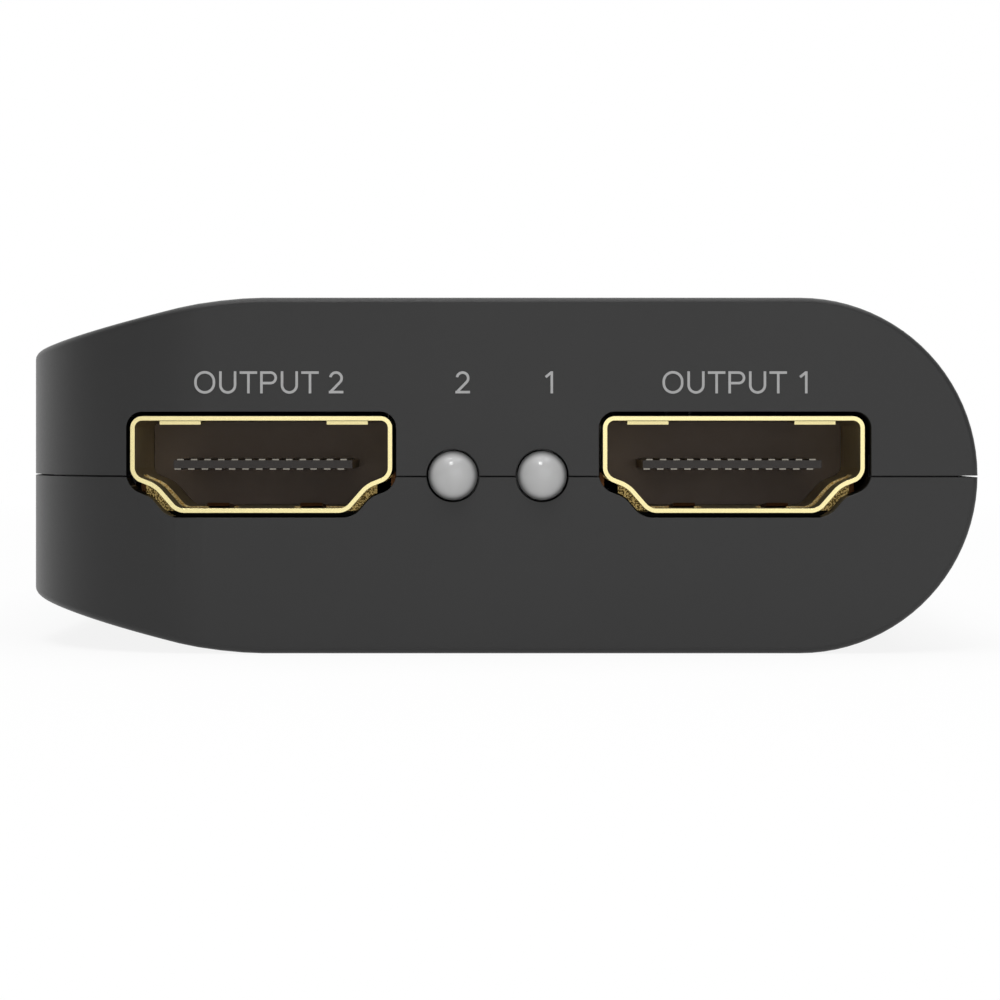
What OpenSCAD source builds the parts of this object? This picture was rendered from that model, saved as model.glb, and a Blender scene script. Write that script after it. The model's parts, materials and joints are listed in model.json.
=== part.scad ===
// Video splitter box: two output sockets and two indicator lamps on the front face,
// one input socket and a power jack on the back face, a circuit board inside.
// Units are millimetres. +X is to the right of the output face, +Y runs from the
// output face to the back, +Z is up. The origin is under the middle of the box.

/* [Case] */
// Overall width of the case
body_w = 55.6; // [54:0.1:64]
// Depth of the case from the output face to the back face
body_d = 62; // [58:0.5:76]
// Overall height of the case
body_h = 20.3; // [19.4:0.1:24]
// Thickness of the case walls
wall = 2; // [1.7:0.1:2.3]
// Height of the blunt end of the tapered side
nose_h = 14.45; // [12.5:0.05:16.5]
// Length of the tapered side
nose_l = 14.8; // [12:0.1:17]
// Radius that blends the taper into the flat top and bottom
nose_blend_r = 20.7; // [12:0.1:24]
// Plan radius of the two upright corners of the tapered side
nose_corner_r = 11.4; // [7:0.1:13]
// Radius of the edges of the blunt end
nose_edge_r = 0.45; // [0.2:0.05:0.8]

/* [Seam] */
// Shadow gap between the two shells
seam_gap = 0.09; // [0.06:0.01:0.3]
// Depth of the shadow gap, where the inner lip begins
seam_depth = 1.05; // [0.9:0.05:1.4]
// How far the seam lies below the middle of the case's height
seam_drop = 0.05; // [0:0.05:0.3]
// Height of the lip above the seam
lip_h = 1.2; // [0.8:0.1:1.6]
// Clearance round the lip
lip_gap = 0.1; // [0.05:0.01:0.2]

/* [Sockets] */
// Outside width of a socket shell
socket_w = 15; // [14.6:0.1:15.4]
// Outside height of a socket shell
socket_h = 5.55; // [5.4:0.05:5.8]
// Width of a socket's flat floor, at mid sheet
socket_floor_w = 9.63; // [9.2:0.05:10]
// Sheet thickness of the socket shells and their springs' windows
sheet = 0.26; // [0.22:0.01:0.32]
// Depth of a socket shell from its rim to its back edge
socket_l = 10.8; // [10:0.1:12]
// Height of the sockets' middle above the middle of the case's height
socket_rise = 0.62; // [0.3:0.02:0.9]
// Distance between the middles of the two output sockets
output_pitch = 27.05; // [26:0.05:28]
// Sideways place of the middle of the output row
row_x = 0.4; // [-0.5:0.05:1]
// Sideways place of the input socket
input_x = -4; // [-5:0.1:-3]
// How far the socket rims sit behind the case faces
rim_recess = 0.77; // [0.4:0.01:1.2]
// Clearance between a socket shell and its hole in the case
socket_gap = 0.25; // [0.15:0.01:0.4]

/* [Socket tongue and contacts] */
// Width of the contact tongue
tongue_w = 10.3; // [10.1:0.05:10.8]
// Thickness of the contact tongue
tongue_t = 0.46; // [0.4:0.02:0.8]
// How far the tongue's front edge sits behind the rim
tongue_recess = 1.07; // [0.8:0.01:2]
// Length of the insulating block behind the tongue
block_l = 3; // [2.4:0.1:3.6]
// Contacts in each of the two rows
contact_count = 13; // [7:1:13]
// Distance from one contact to the next
contact_pitch = 0.784; // [0.7:0.002:0.79]
// Width of a contact
contact_w = 0.37; // [0.3:0.01:0.5]
// Thickness of a contact
contact_t = 0.08; // [0.08:0.01:0.15]

/* [Socket springs] */
// Thickness of the leaf springs
spring_t = 0.2; // [0.15:0.01:0.22]
// Width of an upper leaf spring
upper_spring_w = 2.37; // [1.8:0.01:2.6]
// Distance between the middles of the two upper springs
upper_spring_pitch = 9.66; // [8:0.02:9.8]
// How far an upper spring's tip sits behind the rim
upper_spring_tip = 1.5; // [1.2:0.05:2]
// How far an upper spring hangs into the socket
upper_spring_bite = 0.22; // [0.1:0.01:0.25]
// Width of a lower leaf spring
lower_spring_w = 1.25; // [1.1:0.01:1.6]
// Distance between the middles of the two lower springs
lower_spring_pitch = 5.4; // [4.8:0.02:5.6]
// How far a lower spring's tip sits behind the rim
lower_spring_tip = 1.9; // [1.6:0.05:2.4]
// How far a lower spring rises into the socket
lower_spring_bite = 0.29; // [0.1:0.01:0.3]
// Distance of the springs' bending lines behind the rim
spring_root = 6.3; // [5.5:0.1:7]
// Clearance round a leaf spring
spring_gap = 0.12; // [0.08:0.01:0.2]

/* [Indicator lamps] */
// Diameter of a lamp
lamp_d = 2.87; // [2.6:0.01:3.1]
// How far a lamp's dome stands out of the case
lamp_out = 1; // [0.6:0.05:1.3]
// Length of a lamp in front of its flange
lamp_l = 4.3; // [3.8:0.05:5]
// Distance between the two lamps
lamp_pitch = 5.08; // [4.6:0.02:5.6]
// Clearance round a lamp in its hole
lamp_gap = 0.065; // [0.04:0.005:0.15]
// Thickness of the square lamp leads
lead_t = 0.5; // [0.4:0.02:0.6]

/* [Power jack] */
// Sideways place of the power jack
jack_x = 11.5; // [11:0.1:12]
// Diameter of the jack's collar
jack_collar_d = 5.6; // [5.2:0.1:6]
// How far the jack's collar stands out of the case
jack_out = 0.5; // [0.3:0.05:1]
// Diameter of the jack's bore
jack_bore_d = 3.6; // [3.3:0.05:3.8]
// Diameter of the centre pin
jack_pin_d = 1.3; // [1.1:0.05:1.5]
// Width of the jack's block
jack_w = 8; // [7.4:0.1:8.4]
// Height of the jack's block
jack_h = 6.4; // [6:0.1:7]
// Length of the jack's block
jack_l = 9; // [8.5:0.1:10]
// Clearance round the jack's collar
jack_gap = 0.2; // [0.1:0.02:0.3]

/* [Board and screws] */
// Thickness of the circuit board
board_t = 1.6; // [1:0.1:1.8]
// Clearance between the board's edge and the case
board_gap = 0.35; // [0.2:0.05:0.6]
// Distance between the screws across the case
screw_pitch_x = 26; // [25.6:0.1:26.4]
// Distance of the screws from the end faces
screw_inset = 19; // [18.8:0.1:20]
// Sideways place of the middle of the screws
screw_mid_x = 2.5; // [2.2:0.1:2.8]
// Diameter of the screws' shanks
screw_d = 2.2; // [1.8:0.1:2.4]
// Diameter of the screws' heads
screw_head_d = 4; // [3.6:0.1:4.2]
// Height of the screws' heads
screw_head_h = 1.6; // [1.2:0.1:1.8]
// How far the screw heads sit inside the base
screw_recess = 0.5; // [0.3:0.1:0.8]
// Length of screw held in the upper shell
screw_grip = 6.5; // [4:0.1:7]
// Outside diameter of the screw posts
post_d = 5.6; // [5.4:0.1:6]

/* [Hidden] */
$fn = 64;

// Overlap that joins two shapes of one solid, and overshoot of a cut
join = 0.2;
over = 1;

// Places of the case
half_h = body_h / 2;
left_x = -body_w / 2;
right_x = body_w / 2;
front_y = (lamp_out - jack_out - body_d) / 2;
rear_y = front_y + body_d;
mid_y = (front_y + rear_y) / 2;
seam_z = half_h - seam_drop;

// The taper is a line from the blunt end that touches the blend arc
blend_rise = half_h - nose_blend_r - nose_h / 2;
blend_reach = norm([nose_l, blend_rise]);
taper_angle = atan2(blend_rise, nose_l) + asin(nose_blend_r / blend_reach);
taper_top_x = left_x + nose_l - nose_blend_r * tan(taper_angle / 2);
round_x = right_x - half_h;
end_section_radii = [nose_edge_r, nose_blend_r, 0, 0, nose_blend_r, nose_edge_r];

// Sizes of a socket's outline at mid sheet, about the socket's middle. The slanted sides of its
// hole in the case drop below the shell's own
socket_half_w = (socket_w - sheet) / 2;
socket_half_h = (socket_h - sheet) / 2;
socket_z = half_h + socket_rise;
shoulder_z = -0.7;
step_z = -1.23;
step_in = 1.315;
step_x = socket_half_w - step_in;
hole_drop = 0.33;
socket_arc_step = 15;
socket_top_r = 0.55;
shoulder_r = 0.75;
step_r = 1.5;
floor_r = 0.85;
socket_radii = [
    socket_top_r, socket_top_r, shoulder_r, step_r, floor_r, floor_r, step_r, shoulder_r
];

// Windows that relieve the lower corners of a socket shell, and the plates under its slanted sides,
// which fill its hole in the case
relief_start = 2.1;
relief_end = 3.9;
relief_inner_x = 1.6;
relief_rise = 0.08;
relief_top_z = shoulder_z + relief_rise;
corner_plate_y = 0.3;
corner_plate_gap = 0.08;
corner_plate_inset = 0.75;
corner_plate_x = socket_half_w - corner_plate_inset;

// Legs that hold a socket shell in the board
leg_w = 1;
leg_places = [5, 9];
leg_tail = 0.8;
slot_gap = 0.2;

// Slant of the lower springs' tips, which lets a plug ride up on them
lower_spring_slant = 0.22;

// Insulating block and contacts of a socket
block_gap = 0.02;
block_overhang = 0.3;
block_back = socket_l + block_overhang;
block_front = block_back - block_l;
contact_setback = 0.05;
contact_foot = 0.5;
tail_gap = 0.15;
tail_row_pitch = 0.95;
lower_tail_y = block_back + tail_gap;
upper_tail_y = lower_tail_y + tail_row_pitch;
upper_row_shift = -0.06;
lower_row_shift = -0.22;

// Board
board_top = socket_z - socket_h / 2;
board_z = board_top - board_t;
end_inner_r = half_h - wall;
board_right_x = round_x + sqrt(pow(end_inner_r, 2) - pow(half_h - board_z, 2)) - board_gap;

// Screws and posts
screw_places = [
    for (side = [-1, 1], y = [front_y + screw_inset, rear_y - screw_inset])
        [screw_mid_x + side * screw_pitch_x / 2, y]
];
screw_head_gap = 0.2;
screw_hole_gap = 0.2;
pilot_gap = 0.05;
pilot_spare = 0.5;
drive_slot_w = 0.5;
drive_slot_l = 2.2;
drive_slot_depth = 0.7;

// Lamps
lamp_flange_step = 0.3;
lamp_flange_d = lamp_d + 2 * lamp_flange_step;
lamp_flange_t = 1;
lamp_back = front_y - lamp_out + lamp_l + lamp_flange_t;
lamp_lead_pitch = 2.54;
lamp_lead_bend = 2;
lamp_lead_tail = 1;
lead_hole_gap = 0.2;
lamp_2_x = row_x - lamp_pitch / 2;
lamp_1_x = row_x + lamp_pitch / 2;
output_2_x = row_x - output_pitch / 2;
output_1_x = row_x + output_pitch / 2;

// Power jack, about the middle of its collar's front face
jack_axis_z = board_top + jack_h / 2;
jack_wall_gap = 0.15;
jack_end_wall = 1.2;
jack_collar_l = jack_out + wall + jack_wall_gap;
jack_back = jack_collar_l + jack_l;
jack_bore_l = jack_back - jack_end_wall;
jack_pin_start = 1.2;
jack_pin_gap = 0.03;
jack_spring_w = 1.5;
jack_spring_l = 5;
jack_spring_setback = 1.4;
jack_spring_tip = jack_collar_l + jack_spring_setback;
jack_spring_root = jack_spring_tip + jack_spring_l;
jack_spring_bite = 0.25;
terminal_t = 0.3;
terminal_w = 1.8;
terminal_tail = 0.9;
terminal_setback = 2.5;
terminal_place = jack_back - terminal_setback;

// Small pieces on the board: middle of each, then its size
lead_knee = 0.4;
chip_shift = 1;
chip_place = [2.5, mid_y - chip_shift];
chip_size = [10, 10, 1.4];
chip_leads_per_side = 16;
chip_lead_pitch = 0.5;
chip_lead_w = 0.24;
chip_lead_reach = 1;
chip_lead_t = 0.15;
memory_shift = 5.5;
memory_place = [-16, mid_y - memory_shift];
memory_size = [3.9, 4.9, 1.5];
memory_leads_per_side = 4;
memory_lead_pitch = 1.27;
memory_lead_w = 0.42;
package_lift = 0.1;
crystal_shift = 4.5;
crystal_place = [-15.5, mid_y + crystal_shift];
crystal_size = [11, 4.7, 3.5];
crystal_rim = 0.35;
crystal_lead_d = 0.45;
regulator_inset = 18;
regulator_place = [4.5, rear_y - regulator_inset];
regulator_size = [6.5, 3.5, 1.6];
regulator_tab_w = 3;
regulator_leg_w = 0.7;
regulator_leg_pitch = 2.3;
regulator_reach = 1.6;
tab_t = 0.25;
inductor_size = [5, 5, 3];
can_d = 5;
can_h = 5.2;
can_base = [5.3, 5.3, 1];
power_edge_gap = 0.5;
power_pitch = 6.1;
power_x = board_right_x - power_edge_gap - can_base.x / 2;
inductor_place = [power_x, mid_y + power_pitch];
can_places = [[power_x, mid_y], [power_x, mid_y - power_pitch]];
small_size = [1.6, 0.8, 0.8];
small_pitch = 2.4;
resistor_size = [1.6, 0.8, 0.45];
resistor_pitch = 3;
array_size = [2.5, 1, 0.55];
array_pitch = 3.4;
array_gap = 0.5;
output_array_shift = 3;
input_array_shift = 1;

function unit(v) = v / norm(v);
function next_of(points, i) = points[(i + 1) % len(points)];
function prev_of(points, i) = points[(i + len(points) - 1) % len(points)];
function edge_normal(a, b) = let (d = unit(b - a)) [d.y, -d.x];
function turn_of(points, i) =
    sign(cross(points[i] - prev_of(points, i), next_of(points, i) - points[i]));

// Moves every edge of an anticlockwise outline outwards by g
function grown(points, g) = [
    for (i = [0 : len(points) - 1])
        let (
            a = edge_normal(prev_of(points, i), points[i]),
            b = edge_normal(points[i], next_of(points, i))
        )
        points[i] + g * (a + b) / (1 + a * b)
];

// Points of the arc of radius r that rounds the corner v between the points a and b
function corner_arc(a, v, b, r, arc_step) =
    r <= 0 ? [v] :
    let (
        u = unit(a - v),
        w = unit(b - v),
        half_angle = acos(u * w) / 2,
        centre = v + unit(u + w) * r / sin(half_angle),
        from = v + u * r / tan(half_angle) - centre,
        turn = sign(cross(v - a, b - v)) * (180 - 2 * half_angle),
        steps = ceil(abs(turn) / arc_step)
    )
    [
        for (i = [0 : steps])
            let (angle = turn * i / steps)
            centre + [
                from.x * cos(angle) - from.y * sin(angle),
                from.x * sin(angle) + from.y * cos(angle)
            ]
    ];

// An outline grown by g, with its corners rounded by arcs of short chords
module rounded(points, radii, g = 0, arc_step = 3) {
    edges = grown(points, g);
    polygon([
        for (i = [0 : len(edges) - 1])
            each corner_arc(
                prev_of(edges, i), edges[i], next_of(edges, i),
                radii[i] + g * turn_of(edges, i), arc_step
            )
    ]);
}

// Extrudes an outline drawn in X and Z from y0 to y1
module along_y(y0, y1) {
    translate([0, y1, 0])
        rotate([90, 0, 0])
            linear_extrude(y1 - y0)
                children();
}

// Extrudes an outline drawn in Y and Z from x0 to x1
module along_x(x0, x1) {
    translate([x0, 0, 0])
        rotate([90, 0, 90])
            linear_extrude(x1 - x0)
                children();
}

// A box by its lowest and highest corners
module box(low, high) {
    translate(low)
        cube(high - low);
}

// A box that stands on the board at a place
module on_board(place, size, lift = 0) {
    translate([place.x - size.x / 2, place.y - size.y / 2, board_top + lift])
        cube(size);
}

// The case's section across its width, as far as the middle of its round side, whose
// edge is set out by the inset, so that moving every edge in leaves it in place
function end_section(inset) = [
    [left_x, -nose_h / 2], [taper_top_x, -half_h], [round_x + inset, -half_h],
    [round_x + inset, half_h], [taper_top_x, half_h], [left_x, nose_h / 2]
];

// The case's outline seen from above, with every edge moved in
module plan_outline(inset) {
    corner_x = left_x + nose_corner_r;
    translate([corner_x, front_y + inset])
        square([right_x - corner_x - inset, body_d - 2 * inset]);
    translate([left_x + inset, front_y + nose_corner_r])
        square([nose_corner_r, body_d - 2 * nose_corner_r]);
    for (y = [front_y + nose_corner_r, rear_y - nose_corner_r])
        translate([corner_x, y])
            circle(nose_corner_r - inset);
}

// The case's outer form with every face moved in
module case_form(inset = 0) {
    intersection() {
        translate([0, 0, half_h])
            along_y(front_y + inset, rear_y - inset) {
                rounded(end_section(inset), end_section_radii, -inset);
                translate([round_x, 0])
                    circle(half_h - inset);
            }
        linear_extrude(body_h)
            plan_outline(inset);
    }
}

// A socket's outline with its slanted sides dropped, which keep their direction
function socket_outline(drop) =
    let (
        run = (step_x - socket_floor_w / 2) / (step_z + socket_half_h),
        floor_x = socket_floor_w / 2 + drop * run
    )
    [
        [socket_half_w, socket_half_h], [-socket_half_w, socket_half_h],
        [-socket_half_w, shoulder_z - drop], [-step_x, step_z - drop], [-floor_x, -socket_half_h],
        [floor_x, -socket_half_h], [step_x, step_z - drop], [socket_half_w, shoulder_z - drop]
    ];

// A socket's section, moved out from mid sheet by g
module socket_section(g, drop = 0) {
    rounded(socket_outline(drop), socket_radii, g, socket_arc_step);
}

module case_walls() {
    difference() {
        case_form();
        case_form(wall);
    }
}

module slab(z0, z1) {
    box([left_x - over, front_y - over, z0], [right_x + over, rear_y + over, z1]);
}

module at_output(x) {
    translate([x, front_y + rim_recess, socket_z])
        children();
}

module at_input() {
    translate([input_x, rear_y - rim_recess, socket_z])
        rotate([0, 0, 180])
            children();
}

module at_jack() {
    translate([jack_x, rear_y + jack_out, jack_axis_z])
        rotate([0, 0, 180])
            children();
}

module at_screws() {
    for (place = screw_places)
        translate([place.x, place.y, 0])
            children();
}

// Holes in the end walls for the sockets, the lamps and the jack
module port_holes() {
    hole_depth = rim_recess + over;
    for (x = [output_1_x, output_2_x])
        at_output(x)
            along_y(-hole_depth, wall + over)
                socket_section(sheet / 2 + socket_gap, hole_drop);
    at_input()
        along_y(-hole_depth, wall + over)
            socket_section(sheet / 2 + socket_gap, hole_drop);
    for (x = [lamp_1_x, lamp_2_x])
        translate([x, 0, half_h])
            along_y(front_y - over, front_y + wall + over)
                circle(d = lamp_d + 2 * lamp_gap);
    at_jack()
        along_y(-over, jack_collar_l + over)
            circle(d = jack_collar_d + 2 * jack_gap);
}

module upper_shell() {
    color("#3d3d3d")
        difference() {
            union() {
                difference() {
                    case_walls();
                    slab(-over, seam_z + seam_gap / 2);
                    intersection() {
                        case_form(seam_depth - lip_gap);
                        slab(-over, seam_z + lip_h + lip_gap);
                    }
                }
                at_screws()
                    translate([0, 0, board_top])
                        cylinder(d = post_d, h = body_h - wall / 2 - board_top);
            }
            at_screws()
                translate([0, 0, board_top - over])
                    cylinder(d = screw_d + 2 * pilot_gap, h = over + screw_grip + pilot_spare);
            port_holes();
        }
}

module lower_shell() {
    color("#3b3b3b")
        difference() {
            union() {
                difference() {
                    union() {
                        difference() {
                            case_form();
                            slab(seam_z - seam_gap / 2, body_h + over);
                        }
                        difference() {
                            case_form(seam_depth);
                            slab(-over, seam_z - seam_gap - join);
                            slab(seam_z + lip_h, body_h + over);
                        }
                    }
                    case_form(wall);
                }
                at_screws()
                    cylinder(d = post_d, h = board_z);
            }
            at_screws() {
                translate([0, 0, -over])
                    cylinder(d = screw_head_d + 2 * screw_head_gap, h = over + screw_recess + screw_head_h);
                translate([0, 0, -over])
                    cylinder(d = screw_d + 2 * screw_hole_gap, h = over + board_z + over);
            }
            port_holes();
        }
}

module case_screws() {
    shank_top = board_top + screw_grip;
    color("#8d9095")
        at_screws()
            difference() {
                union() {
                    translate([0, 0, screw_recess])
                        cylinder(d = screw_head_d, h = screw_head_h);
                    translate([0, 0, screw_recess + screw_head_h / 2])
                        cylinder(d = screw_d, h = shank_top - screw_recess - screw_head_h / 2);
                }
                for (turn = [0, 90])
                    rotate([0, 0, turn])
                        translate([-drive_slot_l / 2, -drive_slot_w / 2, screw_recess - over])
                            cube([drive_slot_l, drive_slot_w, over + drive_slot_depth]);
            }
}

// Where the legs of a socket shell pass through the board
module socket_leg_boxes(gap) {
    for (side = [-1, 1], y = leg_places)
        translate([side * socket_half_w, y, 0])
            box(
                [-sheet / 2 - gap, -leg_w / 2 - gap, -socket_h / 2 - board_t - leg_tail],
                [sheet / 2 + gap, leg_w / 2 + gap, shoulder_z + join]
            );
}

module main_board() {
    color("#1b1f1e")
        difference() {
            intersection() {
                translate([0, 0, board_z])
                    linear_extrude(board_t)
                        plan_outline(wall + board_gap);
                box([left_x, front_y, board_z - over], [board_right_x, rear_y, board_top + over]);
            }
            at_screws()
                translate([0, 0, board_z - over])
                    cylinder(d = screw_d + 2 * screw_hole_gap, h = board_t + 2 * over);
            for (x = [output_1_x, output_2_x])
                at_output(x)
                    socket_leg_boxes(slot_gap);
            at_input()
                socket_leg_boxes(slot_gap);
            lamp_lead_holes();
            at_jack()
                jack_terminal_tails(slot_gap);
        }
}

module socket_shell() {
    color("#e8cf7a")
        difference() {
            union() {
                along_y(0, socket_l)
                    difference() {
                        socket_section(sheet / 2);
                        socket_section(-sheet / 2);
                    }
                socket_leg_boxes(0);
                along_y(corner_plate_y, corner_plate_y + sheet)
                    difference() {
                        intersection() {
                            socket_section(sheet / 2 + socket_gap - corner_plate_gap, hole_drop);
                            for (side = [0, 1])
                                mirror([side, 0])
                                    translate([socket_floor_w / 2, -socket_half_h])
                                        square([corner_plate_x - socket_floor_w / 2, socket_half_h]);
                        }
                        socket_section(0);
                    }
            }
            for (side = [-1, 1]) {
                translate([side * upper_spring_pitch / 2, 0, socket_half_h])
                    spring_window(upper_spring_w, upper_spring_tip);
                translate([side * lower_spring_pitch / 2, 0, -socket_half_h])
                    spring_window(lower_spring_w, lower_spring_tip);
            }
            for (side = [0, 1])
                mirror([side, 0, 0])
                    box(
                        [relief_inner_x, relief_start, -socket_h / 2 - over],
                        [socket_half_w + over, relief_end, relief_top_z]
                    );
        }
}

module spring_window(w, tip) {
    box(
        [-w / 2 - spring_gap, tip - 2 * spring_gap, -sheet],
        [w / 2 + spring_gap, spring_root + spring_t / 2 + spring_gap / 2, sheet]
    );
}

module socket_tongue() {
    color("#2b2a28")
        difference() {
            union() {
                along_y(block_front, block_back)
                    socket_section(-sheet / 2 - block_gap);
                box(
                    [-tongue_w / 2, tongue_recess, -tongue_t / 2],
                    [tongue_w / 2, block_front + join, tongue_t / 2]
                );
            }
            for (row = [-1, 1])
                contact_row(row)
                    contact_blade(row);
        }
}

// Repeats a contact along its row: 1 is the upper row, -1 the lower one
module contact_row(row) {
    shift = row > 0 ? upper_row_shift : lower_row_shift;
    for (i = [0 : contact_count - 1])
        translate([(i - (contact_count - 1) / 2) * contact_pitch + shift, 0, 0])
            children();
}

function tail_of(row) = row > 0 ? upper_tail_y : lower_tail_y;
function blade_z(row) = row * (tongue_t + contact_t) / 2 - contact_t / 2;

module contact_blade(row) {
    box(
        [-contact_w / 2, tongue_recess + contact_setback, blade_z(row)],
        [contact_w / 2, tail_of(row) + contact_t, blade_z(row) + contact_t]
    );
}

module socket_contacts() {
    color("#c9c4b4")
        for (row = [-1, 1])
            contact_row(row) {
                contact_blade(row);
                box(
                    [-contact_w / 2, tail_of(row), -socket_h / 2],
                    [contact_w / 2, tail_of(row) + contact_t, blade_z(row) + contact_t]
                );
                box(
                    [-contact_w / 2, tail_of(row), -socket_h / 2],
                    [contact_w / 2, tail_of(row) + contact_foot, -socket_h / 2 + contact_t]
                );
            }
}

// A leaf from a rolled root to a cut tip, drawn in Y and Z. The slant sets the upper edge
// of the tip back
module leaf(root, tip, w, slant = 0) {
    along = unit(tip - root);
    side = [-along.y, along.x] * spring_t / 2;
    along_x(-w / 2, w / 2) {
        polygon([root + side, root - side, tip - side - along * slant, tip + side]);
        translate(root)
            circle(d = spring_t);
    }
}

module upper_springs() {
    tip_z = socket_half_h - sheet / 2 - upper_spring_bite + spring_t / 2;
    color("#e8cf7a")
        for (side = [-1, 1])
            translate([side * upper_spring_pitch / 2, 0, 0])
                leaf([spring_root, socket_half_h], [upper_spring_tip, tip_z], upper_spring_w);
}

module lower_springs() {
    tip_z = -socket_half_h + sheet / 2 + lower_spring_bite - spring_t / 2;
    color("#a8884a")
        for (side = [-1, 1])
            translate([side * lower_spring_pitch / 2, 0, 0])
                leaf(
                    [spring_root, -socket_half_h],
                    [lower_spring_tip, tip_z],
                    lower_spring_w,
                    lower_spring_slant
                );
}

module lamp(x) {
    dome_r = lamp_d / 2;
    flange_y = front_y - lamp_out + lamp_l;
    color("#aaaaaa")
        translate([x, 0, half_h])
            rotate([-90, 0, 0])
                union() {
                    translate([0, 0, front_y - lamp_out + dome_r])
                        rotate_extrude()
                            intersection() {
                                circle(dome_r);
                                translate([0, -dome_r])
                                    square(dome_r);
                            }
                    translate([0, 0, front_y - lamp_out + dome_r])
                        cylinder(d = lamp_d, h = lamp_l - dome_r);
                    translate([0, 0, flange_y])
                        cylinder(d = lamp_flange_d, h = lamp_flange_t);
                }
}

module at_lamp_leads() {
    for (x = [lamp_1_x, lamp_2_x], side = [-1, 1])
        translate([x + side * lamp_lead_pitch / 2, lamp_back, 0])
            children();
}

module lamp_leads() {
    half = lead_t / 2;
    color("#b9bcc0")
        at_lamp_leads() {
            box([-half, 0, half_h - half], [half, lamp_lead_bend + half, half_h + half]);
            box(
                [-half, lamp_lead_bend - half, board_z - lamp_lead_tail],
                [half, lamp_lead_bend + half, half_h + half]
            );
        }
}

module lamp_lead_holes() {
    at_lamp_leads()
        translate([0, lamp_lead_bend, board_z - over])
            cylinder(d = lead_t * sqrt(2) + 2 * lead_hole_gap, h = board_t + 2 * over);
}

module jack_body() {
    color("#1c1c1d")
        difference() {
            union() {
                along_y(0, jack_collar_l + join)
                    circle(d = jack_collar_d);
                box([-jack_w / 2, jack_collar_l, -jack_h / 2], [jack_w / 2, jack_back, jack_h / 2]);
            }
            along_y(-over, jack_bore_l)
                circle(d = jack_bore_d);
            along_y(-over, jack_back + over)
                circle(d = jack_pin_d + 2 * jack_pin_gap);
            box(
                [-jack_spring_w / 2 - spring_gap, jack_spring_tip - 2 * spring_gap, 0],
                [jack_spring_w / 2 + spring_gap, jack_spring_root + spring_t, jack_h / 2 + over]
            );
        }
}

module jack_pin() {
    color("#c8c2a8")
        union() {
            along_y(jack_pin_start + jack_pin_d / 2, jack_back + terminal_t)
                circle(d = jack_pin_d);
            translate([0, jack_pin_start + jack_pin_d / 2, 0])
                sphere(d = jack_pin_d);
        }
}

module jack_spring() {
    root_z = jack_bore_d / 2 + spring_t;
    tip_z = jack_bore_d / 2 - jack_spring_bite + spring_t / 2;
    color("#c8c2a8")
        leaf([jack_spring_root, root_z], [jack_spring_tip, tip_z], jack_spring_w);
}

// The tails of the jack's terminals, with room round them
module jack_terminal_tails(gap) {
    low_z = -jack_h / 2 - board_t - terminal_tail;
    box(
        [-terminal_w / 2 - gap, jack_back - gap, low_z],
        [terminal_w / 2 + gap, jack_back + terminal_t + gap, -jack_h / 2 + join]
    );
    for (side = [0, 1])
        mirror([side, 0, 0])
            box(
                [jack_w / 2 - gap, terminal_place - terminal_w / 2 - gap, low_z],
                [jack_w / 2 + terminal_t + gap, terminal_place + terminal_w / 2 + gap, -jack_h / 2 + join]
            );
}

module jack_terminals() {
    color("#b9bcc0")
        difference() {
            union() {
                jack_terminal_tails(0);
                box(
                    [-terminal_w / 2, jack_back, -jack_h / 2],
                    [terminal_w / 2, jack_back + terminal_t, jack_pin_d]
                );
                for (side = [0, 1])
                    mirror([side, 0, 0])
                        box(
                            [jack_w / 2, terminal_place - terminal_w / 2, -jack_h / 2],
                            [jack_w / 2 + terminal_t, terminal_place + terminal_w / 2, jack_h / 4]
                        );
            }
            along_y(jack_back - over, jack_back + terminal_t + over)
                circle(d = jack_pin_d + 2 * jack_pin_gap);
        }
}

// A gull-wing lead that leaves a package at half height and stands on the board
module gull_lead(package_half, package_h, reach, w, t) {
    exit_z = package_lift + package_h / 2;
    knee = package_half + reach * lead_knee;
    along_x(-w / 2, w / 2) {
        translate([package_half, exit_z - t / 2])
            square([knee - package_half + t, t]);
        translate([knee, 0])
            square([t, exit_z + t / 2]);
        translate([knee, 0])
            square([reach * (1 - lead_knee), t]);
    }
}

module splitter_chip() {
    color("#202124")
        on_board(chip_place, chip_size, package_lift);
}

module splitter_chip_leads() {
    color("#c3c6ca")
        translate([chip_place.x, chip_place.y, board_top])
            for (turn = [0, 90, 180, 270], i = [0 : chip_leads_per_side - 1])
                rotate([0, 0, turn])
                    translate([(i - (chip_leads_per_side - 1) / 2) * chip_lead_pitch, 0, 0])
                        gull_lead(chip_size.y / 2, chip_size.z, chip_lead_reach, chip_lead_w, chip_lead_t);
}

module memory_chip() {
    color("#202124")
        on_board(memory_place, memory_size, package_lift);
}

module memory_chip_leads() {
    color("#c3c6ca")
        translate([memory_place.x, memory_place.y, board_top])
            for (turn = [90, 270], i = [0 : memory_leads_per_side - 1])
                rotate([0, 0, turn])
                    translate([(i - (memory_leads_per_side - 1) / 2) * memory_lead_pitch, 0, 0])
                        gull_lead(
                            memory_size.x / 2, memory_size.z,
                            chip_lead_reach, memory_lead_w, chip_lead_t
                        );
}

// A stadium outline: a rectangle with round ends
module stadium(l, w) {
    square([l - w, w], center = true);
    for (side = [-1, 1])
        translate([side * (l - w) / 2, 0])
            circle(d = w);
}

module crystal() {
    color("#c9ccd0")
        translate([crystal_place.x, crystal_place.y, board_top]) {
            linear_extrude(crystal_rim)
                stadium(crystal_size.x, crystal_size.y);
            linear_extrude(crystal_size.z)
                stadium(crystal_size.x - 2 * crystal_rim, crystal_size.y - 2 * crystal_rim);
        }
}

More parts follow.
